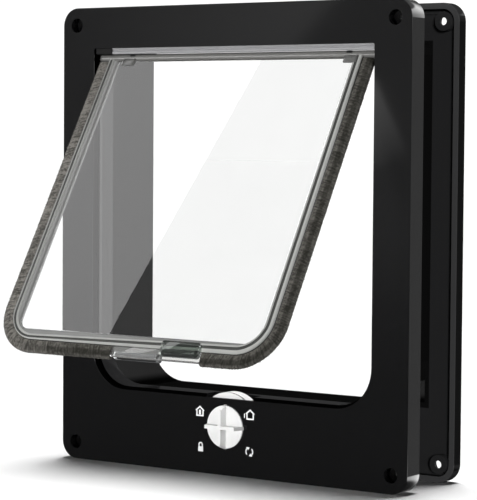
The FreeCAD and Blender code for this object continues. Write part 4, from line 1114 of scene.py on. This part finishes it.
def floor():
    """A wide white floor."""
    mesh = bpy.data.meshes.new("floor")
    corners = [(-FLOOR_HALF, -FLOOR_HALF), (FLOOR_HALF, -FLOOR_HALF), (FLOOR_HALF, FLOOR_HALF),
               (-FLOOR_HALF, FLOOR_HALF)]
    mesh.from_pydata([(across, depth, FLOOR_HEIGHT) for across, depth in corners], [], [[0, 1, 2, 3]])
    mesh.materials.append(Finish("floor", roughness=0.9, specular_ior_level=0.0,
                                 base_color=grey(0.86)).material)
    piece = bpy.data.objects.new("floor", mesh)
    piece.visible_glossy = False
    bpy.context.scene.collection.objects.link(piece)
    return piece


floor_piece = floor()
print("floor", 2 * FLOOR_HALF, "m wide")

# %% World
SEEN_WHITE = 1.12
ROOM_LIGHT = 0.08
ROOM_RISE = 0.19
LEFT_LIGHT = 0.15
LEFT_BAND = 0.95
RIGHT_LIGHT = 0.37
RIGHT_BAND = 3.4
DEEP_FADE = 0.85


def mirrored_light(sky):
    """What reflections see by direction: a dim room before the product, bright bands behind it."""
    direction = sky.node("ShaderNodeTexCoord", {}, {}, "Generated")
    across, depth, up = [sky.axis(direction, letter) for letter in "XYZ"]
    down = 0.0 - up
    upper_band = up.band(0.085, 0.1, 0.4, 0.46) * (up.between(0.1, 0.38) * 0.6 + 0.4)
    lower_band = down.band(0.18, 0.21, 0.22, 0.5)
    from_right = across.between(-0.3, 0.1)
    right_rear = (upper_band + lower_band) * RIGHT_BAND + RIGHT_LIGHT
    left_rear = up.band(0.06, 0.09, 0.16, 0.21) * LEFT_BAND + LEFT_LIGHT
    rear = (1.0 - from_right) * left_rear + from_right * right_rear
    rear = rear * (1.0 - down.between(0.3, 0.42) * DEEP_FADE)
    front = up.between(-0.094, -0.035) * ROOM_RISE + ROOM_LIGHT
    behind = depth.between(-0.05, 0.3)
    return front * (1.0 - behind) + rear * behind


def studio_world():
    """White to look at, also through the clear flap, and dim for every other ray."""
    world = bpy.data.worlds.new("studio")
    world.use_nodes = True
    bpy.context.scene.world = world
    world.node_tree.nodes.clear()
    sky = Tree(world.node_tree)
    outputs = ("Is Camera Ray", "Is Transmission Ray", "Glossy Depth", "Diffuse Depth")
    camera_ray, clear_ray, mirrored_times, scattered_times = [
        sky.node("ShaderNodeLightPath", {}, {}, output) for output in outputs]
    seen = camera_ray.math("MAXIMUM", camera_ray, clear_ray) * mirrored_times.under(0.5)
    strength = mirrored_light(sky) * (1.0 - seen) + seen * SEEN_WHITE
    values = {"Color": (1, 1, 1, 1), "Strength": strength * scattered_times.under(0.5)}
    emission = sky.node("ShaderNodeBackground", {}, values)
    output = world.node_tree.nodes.new("ShaderNodeOutputWorld")
    world.node_tree.links.new(emission.socket, output.inputs["Surface"])
    world.cycles_visibility.diffuse = False


studio_world()
print("world:", bpy.context.scene.world.name)

# %% [markdown]
# ## Lights and shadows
# Soft light falls from above and behind, so that the shadow comes forwards under the front frame, and a
# low light shines from the viewer's left. A photographer's flags and barn doors keep a light off a piece.
# Light groups do the same here: each sun names what it shines on and what may cast its shadow.

# %% Lights
def light_group(name, pieces, state="INCLUDE"):
    """A collection that limits what a light shines on, or what casts its shadow."""
    collection = bpy.data.collections.new(name)
    for piece in pieces:
        collection.objects.link(piece)
    for member in collection.collection_objects:
        member.light_linking.link_state = state
    return collection


def sun(name, azimuth, elevation, strength, spread, lit, shading=None):
    """A distant soft light on a group. Azimuth 0 stands before the product, 90 to its right."""
    data = bpy.data.lights.new(name, "SUN")
    data.energy = strength
    data.angle = math.radians(spread)
    light = bpy.data.objects.new(name, data)
    turn = math.radians(azimuth)
    rise = math.radians(elevation)
    away = Vector((math.sin(turn) * math.cos(rise), -math.cos(turn) * math.cos(rise), math.sin(rise)))
    light.rotation_euler = away.to_track_quat("Z", "Y").to_euler()
    light.visible_glossy = False
    bpy.context.scene.collection.objects.link(light)
    light.light_linking.receiver_collection = lit
    light.light_linking.blocker_collection = shading
    return light


def shadow_flag():
    """A flag across the opening, for the floor's light alone, so that the shadow is soft and whole."""
    mesh = bpy.data.meshes.new("shadow_flag")
    corners = [(-OPENING_HALF, OPENING_SILL), (OPENING_HALF, OPENING_SILL), (OPENING_HALF, OPENING_TOP),
               (-OPENING_HALF, OPENING_TOP)]
    mesh.from_pydata([(across, 0.0, height) for across, height in corners], [], [[0, 1, 2, 3]])
    mesh.materials.append(BLACK_MATTE)
    piece = bpy.data.objects.new("shadow_flag", mesh)
    for kind in ("camera", "diffuse", "glossy", "transmission"):
        setattr(piece, f"visible_{kind}", False)
    bpy.context.scene.collection.objects.link(piece)
    return piece


print("light helpers ready")

# %% Suns
product = light_group("product_light", [floor_piece], "EXCLUDE")
ground = light_group("ground_light", [floor_piece])
flag = shadow_flag()
frames = light_group("frames_shadow", [nodes["front_frame"], nodes["rear_frame"], flag])
but_flag = light_group("flag_shadow", [flag], "EXCLUDE")
rear_only = light_group("rear_light", [nodes["rear_frame"]])
but_knob = light_group("knob_shadow", [nodes["lock_knob"], flag], "EXCLUDE")
sun("rear_left", 215.0, 62.0, 3.0, 30.0, product, but_flag)
sun("rear_right", 145.0, 62.0, 3.0, 30.0, product, but_flag)
sun("viewer_left", -40.0, 3.0, 4.9, 25.0, product, but_knob)
sun("side_fill", 70.0, 10.0, 0.9, 25.0, product, but_flag)
sun("rear_front", 38.0, 8.0, 8.0, 10.0, rear_only, rear_only)
sun("ground_key", 190.0, 79.0, 4.0, 19.0, ground, frames)
ground_fill = sun("ground_fill", 0.0, 60.0, 0.13, 10.0, ground)
ground_fill.data.use_shadow = False
print(len(bpy.data.lights), "suns")

# %% [markdown]
# ## Cards
# A photographer shapes the shine on black gloss and on glass with white cards, which stand outside the
# picture where the glossy plane looks. Each card here is given by what it has to light: four pixels of the
# photograph on a plane of the product. Only reflections see it.

# %% Card
def card(name, plane, pixels, reach, near, far):
    """A glowing card: a glossy plane shows its corners at the four pixels.

    Its glow fades from the side of the first two corners to the side of the last two.
    """
    corners = [mirrored(pixel, plane, reach) for pixel in pixels]
    start = (corners[0] + corners[1]) / 2
    slope = (corners[2] + corners[3]) / 2 - start
    mesh = bpy.data.meshes.new(name)
    mesh.from_pydata([tuple(corner) for corner in corners], [], [[0, 1, 2, 3]])
    finish = Finish(name, base_color=(0, 0, 0, 1), specular_ior_level=0.0, emission_strength=1.0)
    offset = finish.node("ShaderNodeVectorMath", {"operation": "SUBTRACT"}, {0: finish.place(), 1: start})
    values = {0: offset, 1: slope / slope.length_squared}
    share = finish.node("ShaderNodeVectorMath", {"operation": "DOT_PRODUCT"}, values, "Value")
    finish.set(emission_color=finish.mix(share, grey(near), grey(far)))
    mesh.materials.append(finish.material)
    piece = bpy.data.objects.new(name, mesh)
    for kind in ("camera", "diffuse", "transmission", "shadow"):
        setattr(piece, f"visible_{kind}", False)
    bpy.context.scene.collection.objects.link(piece)
    return piece


print("card helper ready")

# %% The four cards
FACE_PLANE = (Vector((0.0, FACE, 0.0)), Vector((0.0, -1.0, 0.0)))
GLASS_PLANE = (HINGE - FLAP_BACK * MM, -FLAP_BACK)
JAMB_PLANE = (Vector((-0.0992, 0.0, 0.0)), Vector((1.0, 0.0, 0.0)))
# Corners in the photograph's pixels, with the sharp edge of each reflection first
VEIL_CORNERS = ((270, 45), (88, 372), (-8, 372), (90, 45))
SHEEN_CORNERS = ((365, -40), (285, 60), (35, 60), (115, -40))
WEDGE_CORNERS = ((373, 76), (321, 105), (357, 186), (409, 157))
JAMB_CORNERS = ((92, 30), (88, 400), (140, 400), (144, 30))
ROOM_GLOW = ROOM_LIGHT + ROOM_RISE
card("veil_card", GLASS_PLANE, VEIL_CORNERS, 1.1, 4.0, 4.0)
card("sheen_card", FACE_PLANE, SHEEN_CORNERS, 1.2, 0.72, ROOM_GLOW)
card("wedge_card", FACE_PLANE, WEDGE_CORNERS, 0.3, 2.0, ROOM_GLOW)
card("jamb_card", JAMB_PLANE, JAMB_CORNERS, 0.5, 2.3, 2.3)
for clear_piece in [flap, rail, bar, cover, grip] + lugs:
    clear_piece.visible_shadow = False
    clear_piece.visible_glossy = False
for strip in (left_pile, right_pile):
    strip.visible_glossy = False
print("cards in place")
